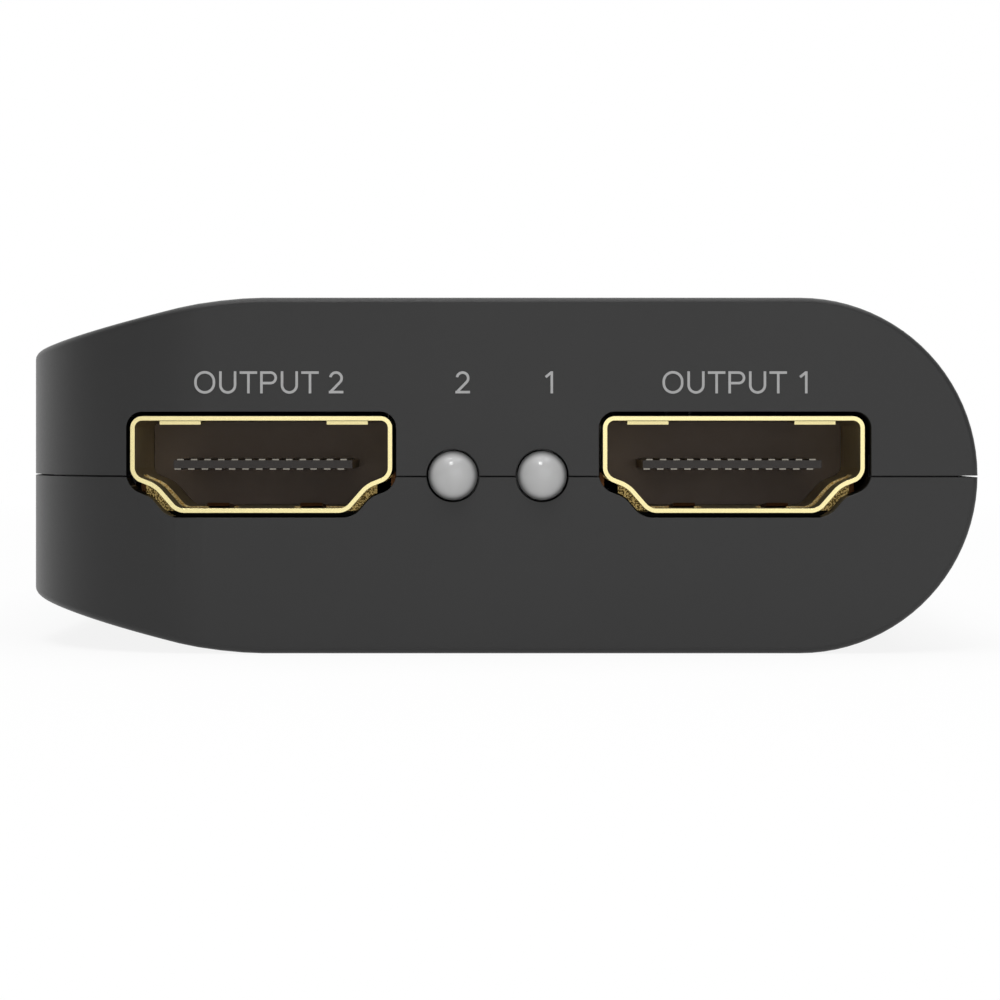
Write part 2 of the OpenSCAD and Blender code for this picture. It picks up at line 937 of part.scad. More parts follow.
module crystal_leads() {
    color("#b9bcc0")
        for (side = [-1, 1])
            translate([
                crystal_place.x + side * (crystal_size.x / 2 + crystal_lead_d),
                crystal_place.y,
                board_top + crystal_lead_d / 2
            ])
                cube([2 * crystal_lead_d, crystal_lead_d, crystal_lead_d], center = true);
}

module regulator() {
    color("#202124")
        on_board(regulator_place, regulator_size, package_lift);
}

module regulator_tabs() {
    half_y = regulator_size.y / 2;
    color("#c3c6ca")
        translate([regulator_place.x, regulator_place.y, board_top]) {
            box([-regulator_tab_w / 2, half_y, 0], [regulator_tab_w / 2, half_y + regulator_reach, tab_t]);
            for (i = [-1 : 1])
                translate([i * regulator_leg_pitch, 0, 0])
                    box(
                        [-regulator_leg_w / 2, -half_y - regulator_reach, 0],
                        [regulator_leg_w / 2, -half_y, tab_t]
                    );
        }
}

module inductor() {
    color("#4a4a4d")
        on_board(inductor_place, inductor_size);
}

module capacitor_cans() {
    color("#c9ccd0")
        for (place = can_places)
            translate([place.x, place.y, board_top + can_base.z])
                cylinder(d = can_d, h = can_h - can_base.z);
}

module capacitor_bases() {
    color("#202124")
        for (place = can_places)
            on_board(place, can_base);
}

module ceramic_capacitors() {
    reach = chip_size.x / 2 + chip_lead_reach + small_size.x;
    color("#b79a6b")
        for (side = [-1, 1], i = [-2 : 2])
            on_board(chip_place + [side * reach, i * small_pitch], small_size);
}

module resistors() {
    reach = chip_size.y / 2 + chip_lead_reach + resistor_size.x;
    color("#26282b")
        for (side = [-1, 1], i = [-1.5 : 1.5])
            on_board(chip_place + [i * resistor_pitch, side * reach], resistor_size);
}

module surge_arrays() {
    row_reach = rim_recess + upper_tail_y + contact_foot + array_size.y + array_gap;
    color("#26282b")
        for (i = [-1 : 1]) {
            for (x = [output_1_x, output_2_x])
                on_board(
                    [x + i * array_pitch - sign(x - row_x) * output_array_shift, front_y + row_reach],
                    array_size
                );
            on_board([input_x + i * array_pitch + input_array_shift, rear_y - row_reach], array_size);
        }
}

upper_shell();
lower_shell();
case_screws();
main_board();
at_output(output_1_x) socket_shell();  // output_1_shell
at_output(output_1_x) socket_tongue();  // output_1_tongue
at_output(output_1_x) socket_contacts();  // output_1_contacts
at_output(output_1_x) upper_springs();  // output_1_upper_springs
at_output(output_1_x) lower_springs();  // output_1_lower_springs
at_output(output_2_x) socket_shell();  // output_2_shell
at_output(output_2_x) socket_tongue();  // output_2_tongue
at_output(output_2_x) socket_contacts();  // output_2_contacts
at_output(output_2_x) upper_springs();  // output_2_upper_springs
at_output(output_2_x) lower_springs();  // output_2_lower_springs
at_input() socket_shell();  // input_shell
at_input() socket_tongue();  // input_tongue
at_input() socket_contacts();  // input_contacts
at_input() upper_springs();  // input_upper_springs
at_input() lower_springs();  // input_lower_springs
lamp(lamp_1_x);  // lamp_1
lamp(lamp_2_x);  // lamp_2
lamp_leads();
at_jack() jack_body();
at_jack() jack_pin();
at_jack() jack_spring();
at_jack() jack_terminals();
splitter_chip();
splitter_chip_leads();
memory_chip();
memory_chip_leads();
crystal();
crystal_leads();
regulator();
regulator_tabs();
inductor();
capacitor_cans();
capacitor_bases();
ceramic_capacitors();
resistors();
surge_arrays();
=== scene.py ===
"""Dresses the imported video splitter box: its case, lettering, sockets, lamps, jack, screws and stage.

Pieces are modelled in millimetres and turned to metres when they are finished.
"""

import json
import math

import bmesh
import bpy
from bmesh.types import BMEdge, BMFace, BMVert
from bpy.props import FloatProperty, FloatVectorProperty, PointerProperty
from bpy.types import Operator, Panel, PropertyGroup
from mathutils import Matrix, Vector


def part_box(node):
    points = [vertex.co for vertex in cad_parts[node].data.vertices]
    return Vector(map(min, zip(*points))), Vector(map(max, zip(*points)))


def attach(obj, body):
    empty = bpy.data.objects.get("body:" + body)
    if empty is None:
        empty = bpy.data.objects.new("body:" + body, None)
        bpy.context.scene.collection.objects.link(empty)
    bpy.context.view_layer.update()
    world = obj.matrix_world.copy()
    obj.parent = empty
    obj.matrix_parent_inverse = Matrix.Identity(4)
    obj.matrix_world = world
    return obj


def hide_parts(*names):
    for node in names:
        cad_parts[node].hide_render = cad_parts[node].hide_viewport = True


bl_info = {
    "name": "Video splitter box",
    "version": (1, 0, 0),
    "blender": (4, 5, 0),
    "location": "View3D > Sidebar > Splitter",
    "description": "Models the case, sockets, lamps and stage of a small video splitter",
    "category": "Object",
}

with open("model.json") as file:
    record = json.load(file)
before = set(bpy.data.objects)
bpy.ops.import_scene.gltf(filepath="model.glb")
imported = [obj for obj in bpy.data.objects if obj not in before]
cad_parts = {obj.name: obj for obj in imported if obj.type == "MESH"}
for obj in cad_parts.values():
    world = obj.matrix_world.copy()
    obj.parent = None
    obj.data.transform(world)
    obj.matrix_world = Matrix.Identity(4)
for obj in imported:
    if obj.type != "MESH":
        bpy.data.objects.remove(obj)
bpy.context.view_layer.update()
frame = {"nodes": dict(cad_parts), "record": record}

MM = 0.001
# Dihedral angle from which an edge counts as sharp
SHARP = math.radians(30)
# Turn of one chord of a rounded corner
ARC_STEP = math.radians(4)
# Distance under which points are one point, and the angle under which faces are one face
MERGE = 1e-4
FLAT = math.radians(0.05)
# Overshoot of a cutting form past the face that it cuts
OVER = 1.0
ROOT = "case"
# Share of a face's normal from which the face counts as turned that way, and as slanted
FACING = 0.5
SLANT = 0.3
# Distances from the middle of the box, deep in a socket and at its tongue's tip, and the tip's tone; deeper
# in, the nylon keeps a lighter colour that is painted bounce light
NYLON_DEEP = 28.2
NYLON_TIP = 28.8
NYLON_TONE = 0.14
# Depths behind a lamp's tip between which its sides are painted darker, and the tone there: painted shade
LAMP_BRIGHT = 0.45
LAMP_DARK = 0.95
LAMP_PAINTED_SHADE = 0.34
# The camera stands close, so its near limit is short
NEAR_CLIP = 0.01
FRONT_PORTS = ("output_1", "output_2")
PORTS = FRONT_PORTS + ("input",)
LAMPS = ("lamp_1", "lamp_2")


def linear(hex_code):
    """An sRGB hex colour as linear red, green, blue and alpha."""
    channels = [int(hex_code[i:i + 2], 16) / 255 for i in (1, 3, 5)]
    return tuple(c / 12.92 if c <= 0.04045 else ((c + 0.055) / 1.055) ** 2.4 for c in channels) + (1.0,)


def cad_box(*nodes):
    """The lowest and highest corners of CAD nodes together, in millimetres."""
    boxes = [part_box(node) for node in nodes]
    low = Vector(min(box[0][i] for box in boxes) for i in range(3))
    high = Vector(max(box[1][i] for box in boxes) for i in range(3))
    return low / MM, high / MM


def length(name, description, millimetres):
    """A property for a length, with its default given in millimetres."""
    return FloatProperty(
        name=name, description=description, default=millimetres * MM, min=0.0, unit="LENGTH", precision=5
    )


def colour(name, description, hex_code):
    """A property for a colour, with its default given as sRGB hex."""
    return FloatVectorProperty(
        name=name, description=description, default=linear(hex_code), size=4, min=0.0, max=1.0,
        subtype="COLOR",
    )


def strength(name, description, value):
    """A property for the strength of a light."""
    return FloatProperty(name=name, description=description, default=value, min=0.0)


def fraction(name, description, value):
    """A property for a part of the whole."""
    return FloatProperty(
        name=name, description=description, default=value, min=0.0, max=1.0, subtype="FACTOR"
    )


class InMillimetres:
    """Reads the lengths of a property group in millimetres, the unit that pieces are modelled in."""

    def __init__(self, group):
        self.group = group

    def __getattr__(self, name):
        return getattr(self.group, name) / MM


class CaseSizes(PropertyGroup):
    wall: length("Wall", "Thickness of the case walls", 2)
    nose_height: length("Nose height", "Height of the blunt end of the tapered side", 14.45)
    nose_length: length("Nose length", "Length of the tapered side", 14.8)
    blend_radius: length("Blend radius", "Radius that blends the taper into the flat top and bottom", 20.7)
    corner_radius: length("Corner radius", "Plan radius of the upright corners of the tapered side", 11.4)
    edge_radius: length("Edge radius", "Rounding of the case's outer edges", 0.4)
    seam_gap: length("Seam gap", "Shadow gap between the two shells", 0.09)
    seam_depth: length("Seam depth", "Depth of the shadow gap, where the inner lip begins", 1.05)
    seam_drop: length("Seam drop", "How far the seam lies below the middle of the case's height", 0.05)
    seam_edge: length("Seam edge", "Rounding of the two edges along the seam", 0.015)
    lip_height: length("Lip height", "Height of the lower shell's lip above the seam", 1.2)
    lip_gap: length("Lip gap", "Clearance round the lip", 0.1)
    hole_edge: length("Hole edge", "Bevel round the openings of the case", 0.03)
    post_diameter: length("Post diameter", "Outside diameter of the screw posts", 5.6)


class SocketSizes(PropertyGroup):
    width: length("Width", "Outside width of a socket shell", 15)
    height: length("Height", "Outside height of a socket shell", 5.55)
    floor_width: length("Floor width", "Width of the flat floor, at mid sheet", 9.63)
    sheet: length("Sheet", "Thickness of the stamped sheet", 0.26)
    depth: length("Depth", "Depth of a shell from its rim to its back edge", 10.8)
    shoulder_drop: length("Shoulder drop", "Drop of the shoulder below the socket's middle", 0.7)
    step_drop: length("Step drop", "Drop of the step below the socket's middle", 1.23)
    step_in: length("Step in", "Distance of the step in from the side", 1.315)
    clearance: length("Clearance", "Room between a shell and its hole in the case", 0.25)
    hole_drop: length("Hole drop", "How far the slanted sides of a hole lie below the shell's own", 0.33)
    rim_edge: length("Rim edge", "Rounding of the rim's edges", 0.015)


class LampSizes(PropertyGroup):
    diameter: length("Diameter", "Diameter of a lamp's lens", 2.87)
    lens_length: length("Lens length", "Length of a lamp in front of its flange", 4.3)
    gap: length("Gap", "Clearance round a lamp in its hole", 0.065)
    edge: length("Edge", "Rounding of a lamp's flange", 0.1)


class JackSizes(PropertyGroup):
    collar: length("Collar", "Diameter of the jack's collar", 5.6)
    bore: length("Bore", "Diameter of the jack's bore", 3.6)
    pin: length("Pin", "Diameter of the centre pin", 1.3)
    gap: length("Gap", "Clearance round the collar", 0.2)
    collar_edge: length("Collar edge", "Rounding of the collar's outer edge", 0.25)
    collar_length: length("Collar length", "Length of the collar in front of the housing", 2.65)
    mouth: length("Mouth", "Bevel at the mouth of the bore", 0.3)
    end_wall: length("End wall", "Wall behind the bore", 1.2)


class ScrewSizes(PropertyGroup):
    head: length("Head", "Diameter of a screw head", 4)
    shank: length("Shank", "Diameter of a screw shank", 2.2)
    head_height: length("Head height", "Height of a screw head", 1.6)
    recess: length("Recess", "How far the heads sit inside the base", 0.5)
    gap: length("Gap", "Clearance round a head and a shank", 0.2)
    grip: length("Grip", "Depth of the pilot holes in the upper posts", 7)
    slot_width: length("Slot width", "Width of one slot of the cross recess", 0.5)
    slot_length: length("Slot length", "Length of one slot of the cross recess", 2.2)
    slot_depth: length("Slot depth", "Depth of the cross recess", 0.7)
    head_edge: length("Head edge", "Rounding of a head's outer edge", 0.45)


class LegendSizes(PropertyGroup):
    cap_height: length("Cap height", "Height of the capital letters", 1.255)
    baseline: length("Baseline", "Height of the lettering above the base", 14.83)
    ink: length("Ink", "Thickness of the printed ink", 0.02)


class Finishes(PropertyGroup):
    case: colour("Case", "Moulded case plastic", "#2f2f2f")
    gold: colour("Gold", "Gold flash of the socket shells", "#ecdfa6")
    lamp: colour("Lamp", "Diffused lamp resin", "#bcbcbc")
    ink: colour("Ink", "Printed lettering", "#a9a9a9")


class StageSizes(PropertyGroup):
    camera_distance: length("Camera distance", "From the lens to the output face", 142.3)
    camera_side: length("Camera side", "Sideways place of the camera", 0.54)
    camera_height: length("Camera height", "Height of the camera above the floor", 12.46)
    lens: FloatProperty(name="Lens", description="Focal length", default=90, unit="CAMERA")
    shift: FloatProperty(name="Shift", description="Upright lens shift, in frame heights", default=-0.065)
    floor: length("Floor", "Width of the floor", 4000)
    paper: colour("Paper", "White paper sweep", "#f4f4f4")
    floor_glow: fraction("Floor glow", "Share of plain white that the floor shows", 0.88)
    front_light: strength("Front light", "Radiance of the front softbox", 1.35)
    top_light: strength("Top light", "Radiance of the overhead softbox", 1.8)
    key_light: strength("Key light", "Radiance of the small key light", 9.0)
    strip_light: strength("Strip light", "Radiance of the overhead strip", 4.5)
    room_light: fraction("Room light", "Share of white that gloss shows before the box", 0.15)
    rear_light: strength("Rear light", "Radiance of the rear softbox", 0.8)
    fill_light: strength("Fill light", "Strength of the even fill", 0.2)


def new_node(tree, kind, inputs=None, **settings):
    """Adds a node, sets its attributes, and gives its inputs their values or links."""
    made = tree.nodes.new(kind)
    for name, value in settings.items():
        setattr(made, name, value)
    for name, value in (inputs or {}).items():
        if isinstance(value, bpy.types.NodeSocket):
            tree.links.new(value, made.inputs[name])
        else:
            made.inputs[name].default_value = value
    return made


def ranged(tree, value, span, result=(0.0, 1.0), **settings):
    """A value carried over from one range to another."""
    inputs = dict(enumerate((value, *span, *result)))
    return new_node(tree, "ShaderNodeMapRange", inputs, **settings).outputs["Result"]


def computed(tree, operation, *values):
    """The result of a math node."""
    return new_node(tree, "ShaderNodeMath", dict(enumerate(values)), operation=operation).outputs["Value"]


def per_mm(size):
    """The scale of a pattern whose marks are this many millimetres across."""
    return 1 / (size * MM)


def surface(name, base, tint, patch, grain, depth, rough, fixed=None, blend=(0.0, 1.0)):
    """A Principled material: two tints in soft patches, and a grain in its bump and roughness.

    patch and grain are sizes in millimetres, depth is the grain's height in millimetres, and rough is
    the range of its roughness. fixed holds the shader's own values. blend is the range of the noise over
    which base turns to tint, narrow where the patches have plain borders.
    """
    material = bpy.data.materials.new(name)
    material.use_nodes = True
    tree = material.node_tree
    shader = tree.nodes["Principled BSDF"]
    place = new_node(tree, "ShaderNodeTexCoord").outputs["Object"]
    clouds = new_node(tree, "ShaderNodeTexNoise", {"Vector": place, "Scale": per_mm(patch), "Detail": 3.0})
    patches = ranged(tree, clouds.outputs["Fac"], blend)
    mixed = new_node(tree, "ShaderNodeMix", {"Factor": patches, "A": base, "B": tint}, data_type="RGBA")
    tree.links.new(mixed.outputs["Result"], shader.inputs["Base Color"])
    grit = new_node(tree, "ShaderNodeTexNoise", {"Vector": place, "Scale": per_mm(grain), "Detail": 2.0})
    tree.links.new(ranged(tree, grit.outputs["Fac"], (0.0, 1.0), rough), shader.inputs["Roughness"])
    bump = new_node(
        tree, "ShaderNodeBump", {"Height": grit.outputs["Fac"], "Distance": depth * MM, "Strength": 1.0}
    )
    tree.links.new(bump.outputs["Normal"], shader.inputs["Normal"])
    for socket, value in (fixed or {}).items():
        shader.inputs[socket].default_value = value
    return material


def shade(base, factor):
    """A colour made lighter or darker by a factor."""
    red, green, blue, alpha = base
    return (red * factor, green * factor, blue * factor, alpha)


def paint_shade_by_depth(material, near, far, factor):
    """Paints shade and light into a material's colour: darker or lighter by its distance along Y from the
    middle of the box.

    The colour is as it was at near and times the factor at far, both in millimetres.
    """
    tree = material.node_tree
    base = tree.nodes["Principled BSDF"].inputs["Base Color"]
    place = new_node(tree, "ShaderNodeTexCoord").outputs["Object"]
    along = new_node(tree, "ShaderNodeSeparateXYZ", {"Vector": place}).outputs["Y"]
    reach = computed(tree, "ABSOLUTE", along)
    tone = ranged(tree, reach, (near * MM, far * MM), (1.0, factor), interpolation_type="SMOOTHSTEP")
    toned = new_node(
        tree, "ShaderNodeMix", {"Factor": 1.0, "A": base.links[0].from_socket, "B": tone},
        data_type="RGBA", blend_type="MULTIPLY",
    )
    tree.links.new(toned.outputs["Result"], base)
    return material


METAL = {"Metallic": 1.0}
# The finishes that no property sets: two tints, the sizes of the patches and the grain, the grain's height,
# the range of the roughness, and where it has them the shader's own values and the blend of the tints
FINISHES = {
    # The case's ABS on the walls of the openings, painted near black as painted shade
    "case_abs_painted_shade": (
        "#080808", "#0e0e0e", 2, 0.16, 0.0012, (0.6, 0.7), {"Specular IOR Level": 0.04},
    ),
    # The drawn sides of a socket shell, where the flash is thin: duller and browner than the rim
    "gold_flash_drawn_side": ("#ebe0bc", "#d6c99c", 0.8, 0.1, 0.001, (0.3, 0.44), METAL),
    # The rough plates under the slanted sides: brass in fine grains of bright and dark, with its colour kept
    # dark as painted shade of the gap it lies in
    "brass_plate_painted_shade": ("#33270f", "#bda468", 0.075, 0.07, 0.003, (0.4, 0.55), METAL, (0.44, 0.58)),
    # Sheared edges inside the shell: bare brass, torn into bright and dull grains
    "brass_sheared_edge": ("#c79a48", "#ffe9a8", 0.11, 0.08, 0.002, (0.3, 0.42), METAL, (0.4, 0.6)),
    # Phosphor bronze strip of the lower springs and the deepest faces in a shell, painted a dark reddish
    # brown as painted shade
    "bronze_strip_painted_shade": ("#92653f", "#70482a", 0.9, 0.08, 0.0008, (0.3, 0.44), METAL),
    # Glass-filled nylon of the tongues: dark and dull at the tip, and painted a lighter, warmer brown deep
    # inside as painted bounce light from the brass round it
    "socket_nylon_painted_light": ("#594b41", "#65564d", 1.5, 0.12, 0.001, (0.45, 0.6)),
    # Thin plating on phosphor bronze contacts: pale and a little dull
    "contact_plating": ("#948f86", "#7c786f", 0.6, 0.06, 0.0006, (0.26, 0.4), METAL),
    # Hot-tinned copper leads: soft grey shine
    "tinned_copper": ("#c6c8cb", "#a9acb0", 0.5, 0.08, 0.0008, (0.25, 0.42), METAL),
    # Black zinc on steel: dark, with a satin shine
    "black_zinc_steel": ("#6a6a6d", "#4b4b4e", 0.8, 0.1, 0.001, (0.25, 0.42), METAL),
    # Black PBT of the power jack: smoother and darker than the case
    "jack_pbt": ("#141415", "#1d1d1e", 1.5, 0.14, 0.0008, (0.3, 0.4)),
    # Black solder mask over glass laminate: matt, with lighter patches over the copper
    "solder_mask": ("#0d0f0e", "#161a18", 2.2, 0.2, 0.002, (0.55, 0.7), {"Specular IOR Level": 0.15}),
    # Moulded epoxy packages: near black and matt
    "epoxy_package": ("#1c1d1f", "#26282a", 1.0, 0.1, 0.001, (0.5, 0.65)),
    # Drawn aluminium cans: bright, with faint drawing marks
    "drawn_aluminium": ("#d3d5d8", "#bfc2c6", 0.8, 0.07, 0.0008, (0.2, 0.34), METAL),
    # Ground ferrite: dark grey, gritty
    "ground_ferrite": ("#3a3a3d", "#4c4c50", 0.7, 0.12, 0.002, (0.5, 0.7)),
    # Fired ceramic chip bodies: tan and dull
    "fired_ceramic": ("#b79a6b", "#a3865a", 0.5, 0.1, 0.001, (0.4, 0.55)),
}


def finish(name):
    """The material of a finish that no property sets."""
    base, tint, *grades = FINISHES[name]
    return surface(name, linear(base), linear(tint), *grades)


def case_plastic(base):
    # Dark ABS moulded in a spark-eroded tool: a fine even grain that keeps the gloss low face-on
    # and turns bright along its far edges.
    return surface(
        "case_abs_fine_grain", base, shade(base, 1.12), 9, 0.16, 0.0012, (0.36, 0.44),
        {"Specular IOR Level": 0.25},
    )


def gold_plate(base):
    # Gold flash on stamped sheet: a pale bright metal with slightly uneven polish.
    return surface("gold_flash_sheet", base, shade(base, 0.95), 1.2, 0.09, 0.0006, (0.18, 0.3), METAL)


def lamp_resin(base):
    # Diffused epoxy: milky all through, with a smooth moulded skin, and its colour painted darker down
    # its sides as painted shade, where less light comes back out.
    resin = surface(
        "lamp_diffused_epoxy", base, shade(base, 0.94), 1.6, 0.5, 0.0004, (0.1, 0.16),
        {"Subsurface Weight": 0.35, "Subsurface Radius": (0.0008, 0.0008, 0.0008), "IOR": 1.52},
    )
    tip = -cad_box(*LAMPS)[0].y
    return paint_shade_by_depth(resin, tip - LAMP_BRIGHT, tip - LAMP_DARK, LAMP_PAINTED_SHADE)


def print_ink(base):
    # Pad-printed ink: matt, with a trace of the case's grain showing through.
    return surface("pad_printed_ink", base, shade(base, 0.9), 0.5, 0.16, 0.0008, (0.5, 0.62))


def rounded_face(points, radii, depth, upright=True):
    """A bmesh of one flat face through the points, with each corner rounded to its radius.

    The points are X and Z at a depth in Y where upright, and otherwise X and Y at a height.
    """
    bm = bmesh.new()
    places = [(a, depth, b) if upright else (a, b, depth) for a, b in points]
    corners = [bm.verts.new(place) for place in places]
    bm.faces.new(corners)
    bm.normal_update()
    for corner, radius in zip(corners, radii):
        if radius > 0:
            turn = corner.calc_edge_angle()
            bmesh.ops.bevel(
                bm, geom=[corner], offset=radius * math.tan(turn / 2), offset_type="OFFSET",
                segments=max(2, math.ceil(turn / ARC_STEP)), profile=0.5, affect="VERTICES", material=-1,
            )
    bmesh.ops.remove_doubles(bm, verts=bm.verts, dist=MERGE)
    return bm


def shrink_face(bm, inset):
    """Moves every edge of a lone face inwards."""
    bm.faces.ensure_lookup_table()
    ring = bmesh.ops.inset_region(
        bm, faces=bm.faces[:], thickness=inset, use_boundary=True, use_even_offset=True
    )
    bmesh.ops.delete(bm, geom=ring["faces"], context="FACES")


def picked(geometry, kind):
    """The vertices, edges or faces among a bmesh operator's results."""
    return [item for item in geometry if isinstance(item, kind)]


def pull(bm, face, move):
    """Extrudes one face by a vector and returns the face at its far end."""
    made = bmesh.ops.extrude_face_region(bm, geom=[face, *face.edges])["geom"]
    bmesh.ops.translate(bm, vec=move, verts=picked(made, BMVert))
    return picked(made, BMFace)[0]


def prism(points, radii, start, end, inset=0.0, upright=True):
    """A closed prism of a rounded outline, along Y where upright and otherwise along Z."""
    bm = rounded_face(points, radii, start, upright)
    if inset:
        shrink_face(bm, inset)
    move = (0, end - start, 0) if upright else (0, 0, end - start)
    bm.faces.ensure_lookup_table()
    pull(bm, bm.faces[0], move)
    bmesh.ops.recalc_face_normals(bm, faces=bm.faces)
    return bm


def disc_face(centre, radius, steps=64):
    """A bmesh of one round face that stands upright across Y."""
    bm = bmesh.new()
    place = Matrix.Translation(centre) @ Matrix.Rotation(math.pi / 2, 4, "X")
    bmesh.ops.create_circle(bm, cap_ends=True, segments=steps, radius=radius, matrix=place)
    return bm


def flared(bm, depth, bevel):
    """Turns a lone upright face, drawn at the mouth, into a cutter that narrows by a bevel there.

    The cutter starts OVER in front of the mouth, and depth is negative where it runs towards -Y.
    """
    ahead = math.copysign(1, depth)
    bm.faces.ensure_lookup_table()
    bmesh.ops.translate(bm, vec=(0, -ahead * OVER, 0), verts=bm.verts)
    cap = pull(bm, bm.faces[0], (0, ahead * OVER, 0))
    if bevel:
        bmesh.ops.inset_region(bm, faces=[cap], thickness=bevel, use_even_offset=True)
        bmesh.ops.translate(bm, vec=(0, ahead * bevel, 0), verts=cap.verts)
    pull(bm, cap, (0, depth - ahead * bevel, 0))
    bmesh.ops.recalc_face_normals(bm, faces=bm.faces)
    return bm


def block(low, high):
    """A bmesh of a box by its lowest and highest corners."""
    bm = bmesh.new()
    low, high = Vector(low), Vector(high)
    place = Matrix.Translation((low + high) / 2) @ Matrix.Diagonal((high - low).to_4d())
    place[3][3] = 1
    bmesh.ops.create_cube(bm, size=1, matrix=place)
    return bm


def rod(centre, radius, start, end, steps=48):
    """A bmesh of an upright cylinder between two heights."""
    bm = bmesh.new()
    place = Matrix.Translation((centre[0], centre[1], (start + end) / 2))
    bmesh.ops.create_cone(
        bm, cap_ends=True, segments=steps, radius1=radius, radius2=radius, depth=end - start, matrix=place
    )
    return bm


def as_mesh(form, name="form"):
    """Turns a bmesh into mesh data and frees it."""
    mesh = bpy.data.meshes.new(name)
    form.to_mesh(mesh)
    form.free()
    return mesh


def joined(*forms):
    """One bmesh that holds several forms."""
    whole = bmesh.new()
    for form in forms:
        mesh = as_mesh(form)
        whole.from_mesh(mesh)
        bpy.data.meshes.remove(mesh)
    return whole


def set_at(form, place):
    """Moves a bmesh by a matrix and returns it."""
    bmesh.ops.transform(form, matrix=place, verts=form.verts)
    return form


def carved(body, tool, operation="DIFFERENCE"):
    """One closed form cut by, joined to or met with another."""
    pair = []
    for form in (body, tool):
        pair.append(bpy.data.objects.new("form", as_mesh(form)))
        bpy.context.scene.collection.objects.link(pair[-1])
    cut = pair[0].modifiers.new("carve", "BOOLEAN")
    cut.operation = operation
    cut.solver = "EXACT"
    cut.object = pair[1]
    result = bmesh.new()
    result.from_object(pair[0], bpy.context.evaluated_depsgraph_get())
    for obj in pair:
        bpy.data.meshes.remove(obj.data)
    bmesh.ops.remove_doubles(result, verts=result.verts, dist=MERGE)
    bmesh.ops.dissolve_degenerate(result, edges=result.edges, dist=MERGE)
    if not result.faces:
        raise RuntimeError("a carved form came out empty")
    return result


def round_edges(bm, edges, radius, segments):
    """Rounds edges with a bevel."""
    bmesh.ops.bevel(
        bm, geom=edges, offset=radius, offset_type="OFFSET", segments=segments, profile=0.5,
        affect="EDGES", clamp_overlap=True, material=-1,
    )


def sharp_edges(bm):
    """The edges where two faces meet at a plain angle."""
    return [e for e in bm.edges if len(e.link_faces) == 2 and e.calc_face_angle() > SHARP]


def cut_flat(bm, height, keep_upper):
    """Cuts a closed form at a height, keeps one side, and returns the face that closes it."""
    cut = bmesh.ops.bisect_plane(
        bm, geom=bm.verts[:] + bm.edges[:] + bm.faces[:], dist=MERGE, plane_co=(0, 0, height),
        plane_no=(0, 0, 1), clear_inner=keep_upper, clear_outer=not keep_upper,
    )
    lid = bmesh.ops.contextual_create(bm, geom=picked(cut["geom_cut"], BMEdge))["faces"]
    bmesh.ops.recalc_face_normals(bm, faces=bm.faces)
    return lid[0]


def finish_piece(bm, name, material, slot, body, *nodes):
    """Turns a bmesh into a finished piece that rides on a body and stands for CAD nodes."""
    bmesh.ops.scale(bm, vec=(MM, MM, MM), verts=bm.verts)
    mesh = as_mesh(bm, name)
    mesh.shade_smooth()
    mesh.set_sharp_from_angle(angle=SHARP)
    piece = bpy.data.objects.new(name, mesh)
    bpy.context.scene.collection.objects.link(piece)
    mesh.materials.append(material)
    weighted = piece.modifiers.new("flat faces stay flat", "WEIGHTED_NORMAL")
    weighted.keep_sharp = True
    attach(piece, body)
    if nodes:
        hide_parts(*nodes)
    return piece


def dress_node(name, material):
    """Gives a CAD node that stays in view its material."""
    mesh = frame["nodes"][name].data
    mesh.materials.clear()
    mesh.materials.append(material)


def case_places():
    """The case's box, in millimetres."""
    return cad_box("upper_shell", "lower_shell")


def case_outline(sizes):
    """The case's section across its width, as corners in X and Z and the radius of each."""
    low, high = case_places()
    middle = (low.z + high.z) / 2
    half = (high.z - low.z) / 2
    nose = sizes.nose_height / 2
    rise = half - sizes.blend_radius - nose
    reach = math.hypot(sizes.nose_length, rise)
    taper = math.atan2(rise, sizes.nose_length) + math.asin(sizes.blend_radius / reach)
    taper_x = low.x + sizes.nose_length - sizes.blend_radius * math.tan(taper / 2)
    points = [
        (low.x, middle - nose), (taper_x, low.z), (high.x, low.z),
        (high.x, high.z), (taper_x, high.z), (low.x, middle + nose),
    ]
    return points, [0, sizes.blend_radius, half, half, sizes.blend_radius, 0]


def case_form(sizes, inset=0.0):
    """The case's closed outer form with every face moved in."""
    low, high = case_places()
    points, radii = case_outline(sizes)
    body = prism(points, radii, low.y + inset, high.y - inset, inset)
    plan = [(low.x, low.y), (high.x, low.y), (high.x, high.y), (low.x, high.y)]
    plan_radii = [sizes.corner_radius, 0, 0, sizes.corner_radius]
    column = prism(plan, plan_radii, low.z - OVER, high.z + OVER, inset, upright=False)
    form = carved(body, column, "INTERSECT")
    bmesh.ops.dissolve_limit(form, angle_limit=FLAT, verts=form.verts, edges=form.edges)
    return form


def grown(points, step):
    """Moves every edge of an anticlockwise outline outwards."""
    moved = []
    for i, corner in enumerate(points):
        corner = Vector(corner)
        sides = []
        for start, end in ((points[i - 1], corner), (corner, points[(i + 1) % len(points)])):
            along = (Vector(end) - Vector(start)).normalized()
            sides.append(Vector((along.y, -along.x)))
        moved.append(tuple(corner + step * (sides[0] + sides[1]) / (1 + sides[0].dot(sides[1]))))
    return moved


SOCKET_RADII = (0.55, 0.55, 0.75, 1.5, 0.85, 0.85, 1.5, 0.75)
# Whether each corner of a socket's outline turns outwards or inwards
SOCKET_TURNS = (1, 1, 1, -1, 1, 1, -1, 1)


